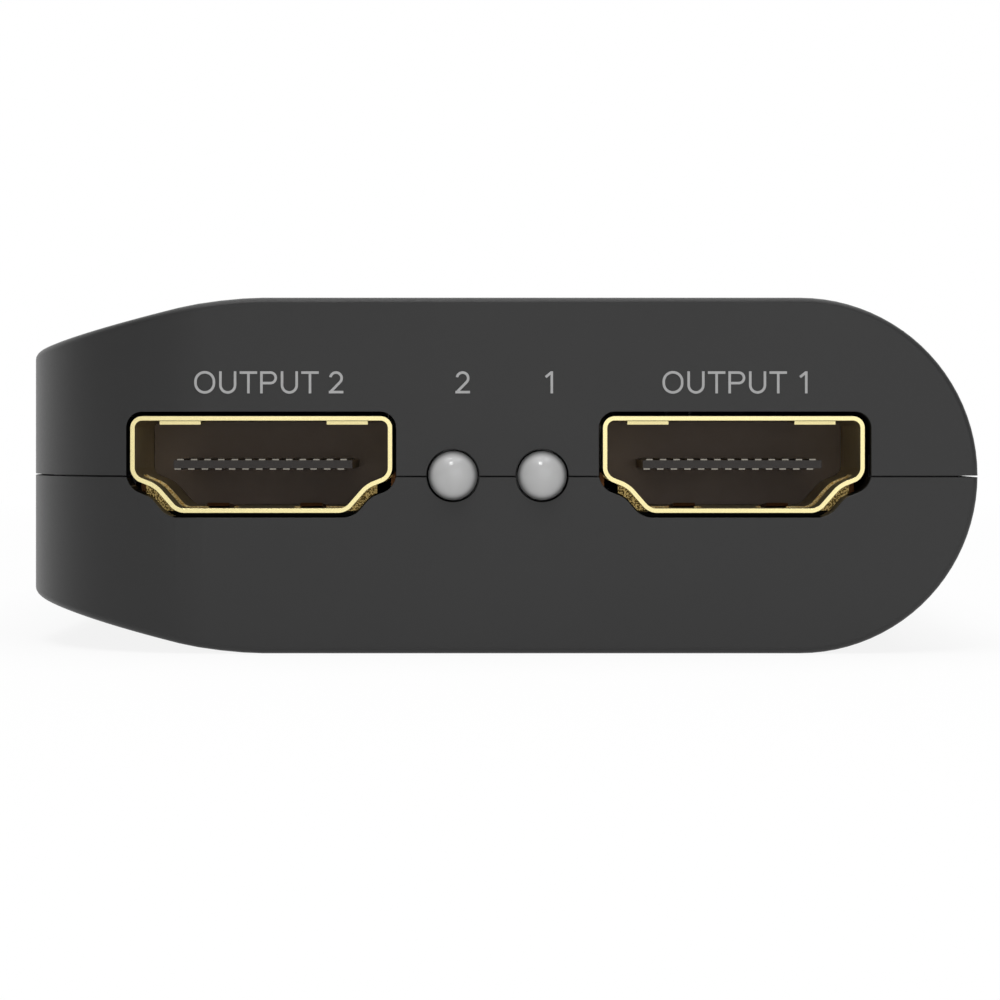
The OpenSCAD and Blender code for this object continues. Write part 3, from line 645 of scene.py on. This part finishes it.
def socket_outline(sizes, step=0.0, drop=0.0):
    """A socket's section about its middle, moved out from mid sheet, and the radius of each corner.

    Its slanted sides are dropped, in their own direction.
    """
    half_w = (sizes.width - sizes.sheet) / 2
    half_h = (sizes.height - sizes.sheet) / 2
    step_x = half_w - sizes.step_in
    floor_x = sizes.floor_width / 2
    floor_x += drop * (step_x - floor_x) / (half_h - sizes.step_drop)
    shoulder = -sizes.shoulder_drop - drop
    ledge = -sizes.step_drop - drop
    points = [
        (half_w, half_h), (-half_w, half_h), (-half_w, shoulder), (-step_x, ledge),
        (-floor_x, -half_h), (floor_x, -half_h), (step_x, ledge), (half_w, shoulder),
    ]
    radii = [radius + step * turn for radius, turn in zip(SOCKET_RADII, SOCKET_TURNS)]
    return grown(points, step), radii


def socket_place(port, sizes):
    """The matrix that takes a socket from its own frame to the case: Y runs in from the rim."""
    low, high = cad_box(port + "_shell")
    middle_z = high.z - sizes.height / 2
    if port in FRONT_PORTS:
        return Matrix.Translation(((low.x + high.x) / 2, low.y, middle_z))
    return Matrix.Translation(((low.x + high.x) / 2, high.y, middle_z)) @ Matrix.Rotation(math.pi, 4, "Z")


def screw_places(sizes):
    """Where the four screws stand, as X and Y."""
    low, high = cad_box("case_screws")
    reach = sizes.head / 2
    return [(x, y) for x in (low.x + reach, high.x - reach) for y in (low.y + reach, high.y - reach)]


def port_cutters(case, socket, lamp, jack):
    """The forms that cut the openings for the sockets, the lamps and the jack."""
    low, high = case_places()
    deep = case.wall + OVER
    step = socket.sheet / 2 + socket.clearance + case.hole_edge
    points, radii = socket_outline(socket, step, socket.hole_drop)
    tools = []
    for port in PORTS:
        place = socket_place(port, socket)
        face_y = low.y if port in FRONT_PORTS else high.y
        recess = abs(place.translation.y - face_y)
        tool = flared(rounded_face(points, radii, -recess), deep, case.hole_edge)
        tools.append(set_at(tool, place))
    holes = [(node, low.y, lamp.diameter / 2 + lamp.gap, deep) for node in LAMPS]
    holes.append(("jack_body", high.y, jack.collar / 2 + jack.gap, -deep))
    for node, face_y, radius, reach in holes:
        node_low, node_high = cad_box(node)
        centre = (node_low + node_high) / 2
        disc = disc_face((centre.x, face_y, centre.z), radius + case.hole_edge)
        tools.append(flared(disc, reach, case.hole_edge))
    return joined(*tools)


class SPLITTER_OT_case(Operator):
    """Models the two shells of the case, with their rounded edges, seam, lip, posts and openings"""

    bl_idname = "splitter.case"
    bl_label = "Case shells"

    def execute(self, context):
        scene = context.scene
        case = InMillimetres(scene.splitter_case)
        screws = InMillimetres(scene.splitter_screws)
        sockets = InMillimetres(scene.splitter_sockets)
        openings = port_cutters(
            case, sockets, InMillimetres(scene.splitter_lamps), InMillimetres(scene.splitter_jack)
        )
        plastic = case_plastic(tuple(scene.splitter_finishes.case))
        # The walls of the openings are painted near black: painted shade
        walls = finish("case_abs_painted_shade")
        middles = [socket_place(port, sockets).translation.x for port in PORTS]
        low, high = case_places()
        seam = (low.z + high.z) / 2 - case.seam_drop
        board_low, board_high = cad_box("main_board")
        outer = case_form(case)
        round_edges(outer, sharp_edges(outer), case.edge_radius, segments=4)
        for upper in (True, False):
            shell = outer.copy()
            side = 1 if upper else -1
            lid = cut_flat(shell, seam + side * case.seam_gap / 2, upper)
            round_edges(shell, list(lid.edges), case.seam_edge, segments=2)
            if upper:
                rebate = case_form(case, case.seam_depth - case.lip_gap)
                cut_flat(rebate, seam + case.lip_height + case.lip_gap, False)
                shell = carved(shell, rebate)
                post_ends = (board_high.z, high.z - case.wall / 2)
                drills = [(screws.shank / 2, board_high.z - OVER, board_high.z + screws.grip)]
            else:
                lip = case_form(case, case.seam_depth)
                cut_flat(lip, seam - case.wall, True)
                cut_flat(lip, seam + case.lip_height, False)
                shell = carved(shell, lip, "UNION")
                post_ends = (low.z + case.wall / 2, board_low.z)
                drills = [
                    (screws.head / 2 + screws.gap, low.z - OVER, screws.recess + screws.head_height),
                    (screws.shank / 2 + screws.gap, low.z - OVER, board_low.z + OVER),
                ]
            shell = carved(shell, case_form(case, case.wall))
            for place in screw_places(screws):
                shell = carved(shell, rod(place, case.post_diameter / 2, *post_ends), "UNION")
                for radius, start, end in drills:
                    shell = carved(shell, rod(place, radius, start, end))
            shell = carved(shell, openings.copy())
            for face in shell.faces:
                face.material_index = int(self.gets_painted_shade(face, low, high, case, middles))
            node = "upper_shell" if upper else "lower_shell"
            piece = finish_piece(shell, "case_" + node, plastic, "case_plastic", ROOT, node)
            piece.data.materials.append(walls)
        outer.free()
        openings.free()
        return {"FINISHED"}

    def gets_painted_shade(self, face, low, high, case, middles):
        """Whether a face is a wall of an opening in the front or the back of the case, painted near black as
        painted shade.

        The slanted walls that a socket's plates lie on don't count.
        """
        middle = face.calc_center_median()
        behind = min(middle.y - low.y, high.y - middle.y)
        start, end = (corner[0] for corner in SOCKET_PLATE)
        beside = any(start < abs(middle.x - x) < end for x in middles)
        slanted = beside and face.normal.z > SLANT and abs(face.normal.x) > SLANT
        if slanted or abs(face.normal.y) > FACING or not case.hole_edge < behind < case.wall:
            return False
        inside = low.x + 2 * case.wall < middle.x < high.x - case.wall
        return inside and low.z + case.wall < middle.z < high.z - case.wall


class Pen:
    """Draws a flat stroke of even width in X and Z, by straight runs and round turns."""

    def __init__(self, start, heading, width):
        self.stroke = bmesh.new()
        self.place = Vector((start[0], 0, start[1]))
        self.heading = math.radians(heading)
        reach = self.left() * width / 2
        ends = [self.stroke.verts.new(self.place + side * reach) for side in (1, -1)]
        self.tip = self.stroke.edges.new(ends)

    def left(self):
        return Vector((-math.sin(self.heading), 0, math.cos(self.heading)))

    def run(self, distance):
        """Draws straight on."""
        move = Vector((math.cos(self.heading), 0, math.sin(self.heading))) * distance
        made = bmesh.ops.extrude_edge_only(self.stroke, edges=[self.tip])["geom"]
        bmesh.ops.translate(self.stroke, vec=move, verts=picked(made, BMVert))
        self.tip = picked(made, BMEdge)[0]
        self.place += move

    def turn(self, radius, degrees):
        """Draws round a circle, to the left where the angle is positive."""
        angle = math.radians(degrees)
        centre = self.place + self.left() * math.copysign(radius, degrees)
        made = bmesh.ops.spin(
            self.stroke, geom=[self.tip, *self.tip.verts], cent=centre, axis=(0, -1, 0), angle=angle,
            steps=math.ceil(abs(angle) / PEN_STEP),
        )["geom_last"]
        self.tip = picked(made, BMEdge)[0]
        self.place = centre + Matrix.Rotation(-angle, 3, "Y") @ (self.place - centre)
        self.heading += angle


# Turn of one chord of a drawn letter
PEN_STEP = math.radians(9)
# Width of the letters' strokes, in cap heights
PEN_WIDTH = 0.115
# Each letter's advance and strokes, in cap heights: a start, a heading in degrees, and then runs, which
# are lengths, and turns, which are a radius and an angle
LETTERS = {
    "O": (1.087, [((0.963, 0.5), 90, [0.039, (0.418, 180), 0.078, (0.418, 180), 0.039])]),
    "U": (1.009, [((0.17, 1), -90, [0.625, (0.332, 180), 0.625])]),
    "T": (0.853, [((0.033, 0.942), 0, [0.793]), ((0.43, 0.96), -90, [0.96])]),
    "P": (0.932, [((0.168, 0), 90, [1]), ((0.19, 0.942), 0, [0.389, (0.238, -180), 0.389])]),
    "2": (0.777, [((0.116, 0.734), 80, [(0.255, -214), 0.6]), ((0.042, 0.058), 0, [0.66])]),
    "1": (0.777, [((0.46, 0), 90, [1]), ((0.45, 0.955), -141, [0.345])]),
    " ": (0.388, []),
}
# The words on the output face and the X, in millimetres, where each begins
LEGENDS = (("OUTPUT 2", -16.95), ("2", -2.05), ("1", 2.91), ("OUTPUT 1", 9.7))


def drawn_letter(letter):
    """A letter as one closed form, one cap height tall and one unit thick, and its advance."""
    advance, strokes = LETTERS[letter]
    whole = None
    for start, heading, moves in strokes:
        pen = Pen(start, heading, PEN_WIDTH)
        for move in moves:
            if isinstance(move, tuple):
                pen.turn(*move)
            else:
                pen.run(move)
        form = pen.stroke
        bmesh.ops.remove_doubles(form, verts=form.verts, dist=MERGE)
        made = bmesh.ops.extrude_face_region(form, geom=form.faces[:])["geom"]
        bmesh.ops.translate(form, vec=(0, 1, 0), verts=picked(made, BMVert))
        bmesh.ops.recalc_face_normals(form, faces=form.faces)
        whole = carved(whole, form, "UNION") if whole else form
    return whole, advance


class SPLITTER_OT_legends(Operator):
    """Prints the words and numbers on the output face, as thin plates of ink"""

    bl_idname = "splitter.legends"
    bl_label = "Printed legends"

    def execute(self, context):
        sizes = InMillimetres(context.scene.splitter_legends)
        low = case_places()[0]
        ink = print_ink(tuple(context.scene.splitter_finishes.ink))
        # Half of the ink lies in the face, so that no two faces share a plane
        scale = Matrix.Diagonal((sizes.cap_height, 2 * sizes.ink, sizes.cap_height, 1))
        letters = []
        for words, start in LEGENDS:
            x = start
            for letter in words:
                form, advance = drawn_letter(letter)
                if form:
                    place = Matrix.Translation((x, low.y - sizes.ink, low.z + sizes.baseline)) @ scale
                    letters.append(set_at(form, place))
                x += advance * sizes.cap_height
        finish_piece(joined(*letters), "front_legends", ink, "case_plastic", ROOT)
        return {"FINISHED"}


# Windows of a socket shell, as lowest and highest corners about its middle, on its +X side
SOCKET_WINDOWS = (
    # over an upper leaf spring, and under a lower one
    ((3.525, 1.26, 2.385), (6.135, 6.46, 2.905)),
    ((1.955, 1.66, -2.905), (3.445, 6.46, -2.385)),
    # relief of a lower corner
    ((1.6, 2.1, -3.775), (8.37, 3.9, -0.62)),
)
# Plates under the slanted sides, which fill the hole in the case but for a gap
SOCKET_PLATE = ((4.815, 0.3, -2.645), (6.62, 0.56, 0))
PLATE_GAP = 0.08
# The finishes of a shell behind its rim, in the order of their indices on its faces
SHELL_FINISHES = (
    "gold_flash_drawn_side", "brass_plate_painted_shade", "brass_sheared_edge", "bronze_strip_painted_shade",
)
# The legs that go through the board
SOCKET_LEGS = (((7.24, 4.5, -5.175), (7.5, 5.5, -0.5)), ((7.24, 8.5, -5.175), (7.5, 9.5, -0.5)))


def both_sides(low, high):
    """A box on the +X side and its mirror image."""
    return (block(low, high), block((-high[0], low[1], low[2]), (-low[0], high[1], high[2])))


def socket_shell(sizes):
    """A socket's folded sheet about its middle, with its rim at Y 0."""
    half_sheet = sizes.sheet / 2
    shell = carved(
        prism(*socket_outline(sizes, half_sheet), 0, sizes.depth),
        prism(*socket_outline(sizes, -half_sheet), -OVER, sizes.depth + OVER),
    )
    rim = [e for e in sharp_edges(shell) if all(v.co.y < MERGE for v in e.verts)]
    round_edges(shell, rim, sizes.rim_edge, segments=3)
    for corners in SOCKET_WINDOWS:
        for window in both_sides(*corners):
            shell = carved(shell, window)
    reach = half_sheet + sizes.clearance - PLATE_GAP
    for plate in both_sides(*SOCKET_PLATE):
        hole = prism(*socket_outline(sizes, reach, sizes.hole_drop), 0, sizes.depth)
        plate = carved(plate, hole, "INTERSECT")
        plate = carved(plate, prism(*socket_outline(sizes), 0, sizes.depth))
        shell = carved(shell, plate, "UNION")
    for corners in SOCKET_LEGS:
        for leg in both_sides(*corners):
            shell = carved(shell, leg, "UNION")
    # Faces towards the mouth are plates, the reliefs' edges and the legs, one behind the other
    ends = (SOCKET_PLATE[1][1], SOCKET_LEGS[0][0][1] - MERGE)
    for face in shell.faces:
        behind = face.calc_center_median().y
        if behind < 2 * sizes.rim_edge:
            face.material_index = 0
        elif face.normal.y > -FACING:
            face.material_index = 1
        else:
            face.material_index = 2 + sum(behind > end for end in ends)
    return shell


class SPLITTER_OT_sockets(Operator):
    """Models the three socket shells and dresses their tongues, contacts and springs"""

    bl_idname = "splitter.sockets"
    bl_label = "Sockets"

    def execute(self, context):
        sizes = InMillimetres(context.scene.splitter_sockets)
        gold = gold_plate(tuple(context.scene.splitter_finishes.gold))
        inner = [finish(name) for name in SHELL_FINISHES]
        # The nylon is painted lighter deep in a socket as painted bounce light, and darker at the tongue's
        # tip
        nylon = paint_shade_by_depth(finish("socket_nylon_painted_light"), NYLON_DEEP, NYLON_TIP, NYLON_TONE)
        plating = finish("contact_plating")
        shell = socket_shell(sizes)
        for port in PORTS:
            form = set_at(shell.copy(), socket_place(port, sizes))
            piece = finish_piece(form, port + "_folded_shell", gold, "gold_plate", ROOT, port + "_shell")
            for material in inner:
                piece.data.materials.append(material)
            dress_node(port + "_tongue", nylon)
            dress_node(port + "_contacts", plating)
            dress_node(port + "_upper_springs", gold)
            # The lower springs are painted dark brown as painted shade; the upper ones stay gold
            dress_node(port + "_lower_springs", inner[-1])
        shell.free()
        return {"FINISHED"}


def turned(points, radii, steps=64):
    """A form turned about Y from a rounded outline in X and Y, which starts and ends on the axis."""
    bm = rounded_face(points, radii, 0, upright=False)
    bmesh.ops.delete(bm, geom=bm.faces[:], context="FACES_ONLY")
    axis = [e for e in bm.edges if all(abs(v.co.x) < MERGE for v in e.verts)]
    bmesh.ops.delete(bm, geom=axis, context="EDGES")
    bmesh.ops.spin(
        bm, geom=bm.verts[:] + bm.edges[:], axis=(0, 1, 0), cent=(0, 0, 0), angle=2 * math.pi, steps=steps,
        use_merge=True,
    )
    bmesh.ops.remove_doubles(bm, verts=bm.verts, dist=MERGE)
    bmesh.ops.recalc_face_normals(bm, faces=bm.faces)
    return bm


class SPLITTER_OT_lamps(Operator):
    """Models the two indicator lamps, with their domes and flanges"""

    bl_idname = "splitter.lamps"
    bl_label = "Indicator lamps"

    def execute(self, context):
        sizes = InMillimetres(context.scene.splitter_lamps)
        resin = lamp_resin(tuple(context.scene.splitter_finishes.lamp))
        radius = sizes.diameter / 2
        for node in LAMPS:
            low, high = cad_box(node)
            flange = (high.x - low.x) / 2
            back = high.y - low.y
            points = [
                (0, 0), (radius, 0), (radius, sizes.lens_length),
                (flange, sizes.lens_length), (flange, back), (0, back),
            ]
            lens = turned(points, [0, radius, 0, sizes.edge, sizes.edge, 0], steps=96)
            place = Matrix.Translation(((low.x + high.x) / 2, low.y, (low.z + high.z) / 2))
            finish_piece(set_at(lens, place), node + "_lens", resin, "lamp_resin", ROOT, node)
        return {"FINISHED"}


class SPLITTER_OT_jack(Operator):
    """Models the body of the power jack and dresses its pin, spring and terminals"""

    bl_idname = "splitter.jack"
    bl_label = "Power jack"

    def execute(self, context):
        sizes = InMillimetres(context.scene.splitter_jack)
        low, high = cad_box("jack_body")
        spring_low, spring_high = cad_box("jack_spring")
        centre = (low + high) / 2
        face = Matrix.Translation((centre.x, high.y, centre.z)) @ Matrix.Rotation(math.pi, 4, "Z")
        deep = high.y - low.y
        collar = sizes.collar / 2
        end = sizes.collar_length + OVER / 2
        body = turned([(0, 0), (collar, 0), (collar, end), (0, end)], [0, sizes.collar_edge, 0, 0])
        half_w = (high.x - low.x) / 2
        half_h = (high.z - low.z) / 2
        housing = block((-half_w, sizes.collar_length, -half_h), (half_w, deep, half_h))
        round_edges(housing, housing.edges[:], sizes.collar_edge, segments=2)
        body = carved(body, housing, "UNION")
        bore = flared(disc_face((0, 0, 0), sizes.bore / 2 + sizes.mouth), deep - sizes.end_wall, sizes.mouth)
        body = carved(body, bore)
        body = carved(body, flared(disc_face((0, 0, 0), sizes.pin / 2), deep + OVER, 0))
        slot = block(
            (spring_low.x - sizes.gap - centre.x, high.y - spring_high.y - sizes.gap, 0),
            (spring_high.x + sizes.gap - centre.x, high.y - spring_low.y + sizes.gap, half_h + OVER),
        )
        body = carved(body, slot)
        plastic = finish("jack_pbt")
        finish_piece(set_at(body, face), "jack_housing", plastic, "jack_plastic", ROOT, "jack_body")
        plating = finish("contact_plating")
        dress_node("jack_pin", plating)
        dress_node("jack_spring", plating)
        dress_node("jack_terminals", finish("tinned_copper"))
        return {"FINISHED"}


class SPLITTER_OT_screws(Operator):
    """Models the four screws in the base, with their cross recesses"""

    bl_idname = "splitter.screws"
    bl_label = "Case screws"

    def execute(self, context):
        sizes = InMillimetres(context.scene.splitter_screws)
        low, high = cad_box("case_screws")
        head, shank = sizes.head / 2, sizes.shank / 2
        long = high.z - low.z
        points = [
            (0, 0), (head, 0), (head, sizes.head_height),
            (shank, sizes.head_height), (shank, long), (0, long),
        ]
        screw = turned(points, [0, sizes.head_edge, 0, 0, 0, 0])
        half_w, half_l = sizes.slot_width / 2, sizes.slot_length / 2
        for reach in ((half_l, half_w), (half_w, half_l)):
            slot = block((-reach[0], -OVER, -reach[1]), (reach[0], sizes.slot_depth, reach[1]))
            screw = carved(screw, slot)
        upright = Matrix.Rotation(math.pi / 2, 4, "X")
        screws = [
            set_at(screw.copy(), Matrix.Translation((x, y, low.z)) @ upright)
            for x, y in screw_places(sizes)
        ]
        screw.free()
        steel = finish("black_zinc_steel")
        finish_piece(joined(*screws), "base_screws", steel, "screw_steel", ROOT, "case_screws")
        return {"FINISHED"}


# The finish of each slot of the pieces on the board
BOARD_FINISHES = {
    "board_laminate": "solder_mask",
    "package_resin": "epoxy_package",
    "tinned_metal": "tinned_copper",
    "can_metal": "drawn_aluminium",
    "ferrite": "ground_ferrite",
    "ceramic": "fired_ceramic",
}


class SPLITTER_OT_board(Operator):
    """Dresses the circuit board and the pieces that stand on it"""

    bl_idname = "splitter.board"
    bl_label = "Circuit board"

    def execute(self, context):
        finishes = {slot: finish(name) for slot, name in BOARD_FINISHES.items()}
        for part in frame["record"]["subparts"]:
            if part["material_slot"] in finishes:
                dress_node(part["node"], finishes[part["material_slot"]])
        return {"FINISHED"}


def soft_light(name, place, aim, width, height, radiance):
    """An even panel of light, placed and aimed in millimetres. The camera doesn't see it."""
    light = bpy.data.lights.new(name, "AREA")
    light.shape = "RECTANGLE"
    light.size = width * MM
    light.size_y = height * MM
    light.energy = radiance * math.pi * light.size * light.size_y
    panel = bpy.data.objects.new(name, light)
    panel.location = Vector(place) * MM
    panel.rotation_euler = (Vector(aim) - Vector(place)).to_track_quat("-Z", "Y").to_euler()
    panel.visible_camera = False
    bpy.context.scene.collection.objects.link(panel)


def seen_rays(tree):
    """A factor that is 1 where the camera sees a surface, straight or by gloss or through glass."""
    path = new_node(tree, "ShaderNodeLightPath").outputs
    seen = path["Is Camera Ray"]
    for ray in ("Is Glossy Ray", "Is Transmission Ray"):
        seen = computed(tree, "MAXIMUM", seen, path[ray])
    return seen


# Distances from the middle of the box between which the floor turns from paper to plain white
GLOW_NEAR = 60
GLOW_FAR = 300
# Directions, as the Y of a ray, between which gloss turns from the room to the white background
ROOM_END = -0.1
WHITE_START = 0.4
# Each light's name, place, aim, width and height in millimetres, and the property with its radiance
SOFT_LIGHTS = (
    ("front_softbox", (160, -620, 80), (0, -31, 10), 620, 560, "front_light"),
    ("overhead_softbox", (0, 0, 600), (0, 0, 10), 700, 700, "top_light"),
    ("overhead_strip", (0, -75, 590), (0, -31, 10), 750, 25, "strip_light"),
    ("small_key", (-45, -230, 340), (0, -31, 10), 110, 110, "key_light"),
    ("rear_softbox", (60, 620, 200), (0, 31, 10), 620, 560, "rear_light"),
)


class SPLITTER_OT_stage(Operator):
    """Sets the camera, the white floor and background, and the studio light"""

    bl_idname = "splitter.stage"
    bl_label = "Stage"

    def execute(self, context):
        scene = context.scene
        stage = scene.splitter_stage
        self.set_camera(scene, stage, case_places()[0].y * MM)
        self.lay_floor(scene, stage)
        self.light_world(scene, stage)
        for name, place, aim, width, height, radiance in SOFT_LIGHTS:
            soft_light(name, place, aim, width, height, getattr(stage, radiance))
        scene.view_settings.view_transform = "Standard"
        return {"FINISHED"}

    def set_camera(self, scene, stage, face_y):
        camera = bpy.data.cameras.new("photo_camera")
        camera.lens = stage.lens
        camera.shift_y = stage.shift
        camera.clip_start = NEAR_CLIP
        holder = bpy.data.objects.new("photo_camera", camera)
        holder.location = (stage.camera_side, face_y - stage.camera_distance, stage.camera_height)
        holder.rotation_euler = (math.pi / 2, 0, 0)
        scene.collection.objects.link(holder)
        scene.camera = holder

    def lay_floor(self, scene, stage):
        bm = bmesh.new()
        bmesh.ops.create_grid(bm, x_segments=1, y_segments=1, size=stage.floor / 2)
        mesh = as_mesh(bm, "floor")
        floor = bpy.data.objects.new("floor", mesh)
        scene.collection.objects.link(floor)
        material = bpy.data.materials.new("white_paper_sweep")
        material.use_nodes = True
        tree = material.node_tree
        tree.nodes.remove(tree.nodes["Principled BSDF"])
        paper = new_node(tree, "ShaderNodeBsdfDiffuse", {"Color": tuple(stage.paper)})
        glow = new_node(tree, "ShaderNodeEmission", {"Color": (1, 1, 1, 1), "Strength": 1.0})
        # The paper shows the soft shadow near the box and turns plain white further off
        place = new_node(tree, "ShaderNodeTexCoord").outputs["Object"]
        reach = new_node(tree, "ShaderNodeVectorMath", {0: place}, operation="LENGTH").outputs["Value"]
        level = ranged(tree, reach, (GLOW_NEAR * MM, GLOW_FAR * MM), (stage.floor_glow, 1.0))
        white = computed(tree, "MULTIPLY", seen_rays(tree), level)
        mixed = new_node(
            tree, "ShaderNodeMixShader", {0: white, 1: paper.outputs["BSDF"], 2: glow.outputs["Emission"]}
        )
        tree.links.new(mixed.outputs["Shader"], tree.nodes["Material Output"].inputs["Surface"])
        mesh.materials.append(material)

    def light_world(self, scene, stage):
        world = bpy.data.worlds.new("studio")
        world.use_nodes = True
        tree = world.node_tree
        fill = tree.nodes["Background"]
        fill.inputs["Color"].default_value = (1, 1, 1, 1)
        fill.inputs["Strength"].default_value = stage.fill_light
        # The white background stands behind the box, and gloss shows a dimmer room in front of it
        aim = new_node(tree, "ShaderNodeTexCoord").outputs["Generated"]
        behind = new_node(tree, "ShaderNodeSeparateXYZ", {"Vector": aim}).outputs["Y"]
        room = ranged(tree, behind, (ROOM_END, WHITE_START), (stage.room_light, 1.0))
        straight = new_node(tree, "ShaderNodeLightPath").outputs["Is Camera Ray"]
        level = computed(tree, "MAXIMUM", straight, room)
        white = new_node(tree, "ShaderNodeBackground", {"Color": (1, 1, 1, 1), "Strength": level})
        mixed = new_node(
            tree, "ShaderNodeMixShader",
            {0: seen_rays(tree), 1: fill.outputs["Background"], 2: white.outputs["Background"]},
        )
        tree.links.new(mixed.outputs["Shader"], tree.nodes["World Output"].inputs["Surface"])
        scene.world = world


class SPLITTER_PT_sidebar(Panel):
    """Lists the splitter's pieces and their sizes"""

    bl_idname = "SPLITTER_PT_sidebar"
    bl_label = "Video splitter"
    bl_space_type = "VIEW_3D"
    bl_region_type = "UI"
    bl_category = "Splitter"

    def draw(self, context):
        for operator in OPERATORS:
            self.layout.operator(operator.bl_idname)
        for name, group in GROUPS.items():
            box = self.layout.box()
            for prop in group.__annotations__:
                box.prop(getattr(context.scene, name), prop)


GROUPS = {
    "splitter_case": CaseSizes,
    "splitter_sockets": SocketSizes,
    "splitter_lamps": LampSizes,
    "splitter_jack": JackSizes,
    "splitter_screws": ScrewSizes,
    "splitter_legends": LegendSizes,
    "splitter_finishes": Finishes,
    "splitter_stage": StageSizes,
}
OPERATORS = (
    SPLITTER_OT_case,
    SPLITTER_OT_legends,
    SPLITTER_OT_sockets,
    SPLITTER_OT_lamps,
    SPLITTER_OT_jack,
    SPLITTER_OT_screws,
    SPLITTER_OT_board,
    SPLITTER_OT_stage,
)


def register():
    for group in GROUPS.values():
        bpy.utils.register_class(group)
    for name, group in GROUPS.items():
        setattr(bpy.types.Scene, name, PointerProperty(type=group))
    for cls in OPERATORS + (SPLITTER_PT_sidebar,):
        bpy.utils.register_class(cls)


def unregister():
    for cls in reversed(OPERATORS + (SPLITTER_PT_sidebar,)):
        bpy.utils.unregister_class(cls)
    for name in GROUPS:
        delattr(bpy.types.Scene, name)
    for group in reversed(list(GROUPS.values())):
        bpy.utils.unregister_class(group)


def main():
    register()
    bpy.ops.splitter.case()
    bpy.ops.splitter.legends()
    bpy.ops.splitter.sockets()
    bpy.ops.splitter.lamps()
    bpy.ops.splitter.jack()
    bpy.ops.splitter.screws()
    bpy.ops.splitter.board()
    bpy.ops.splitter.stage()


if __name__ == "__main__":
    main()
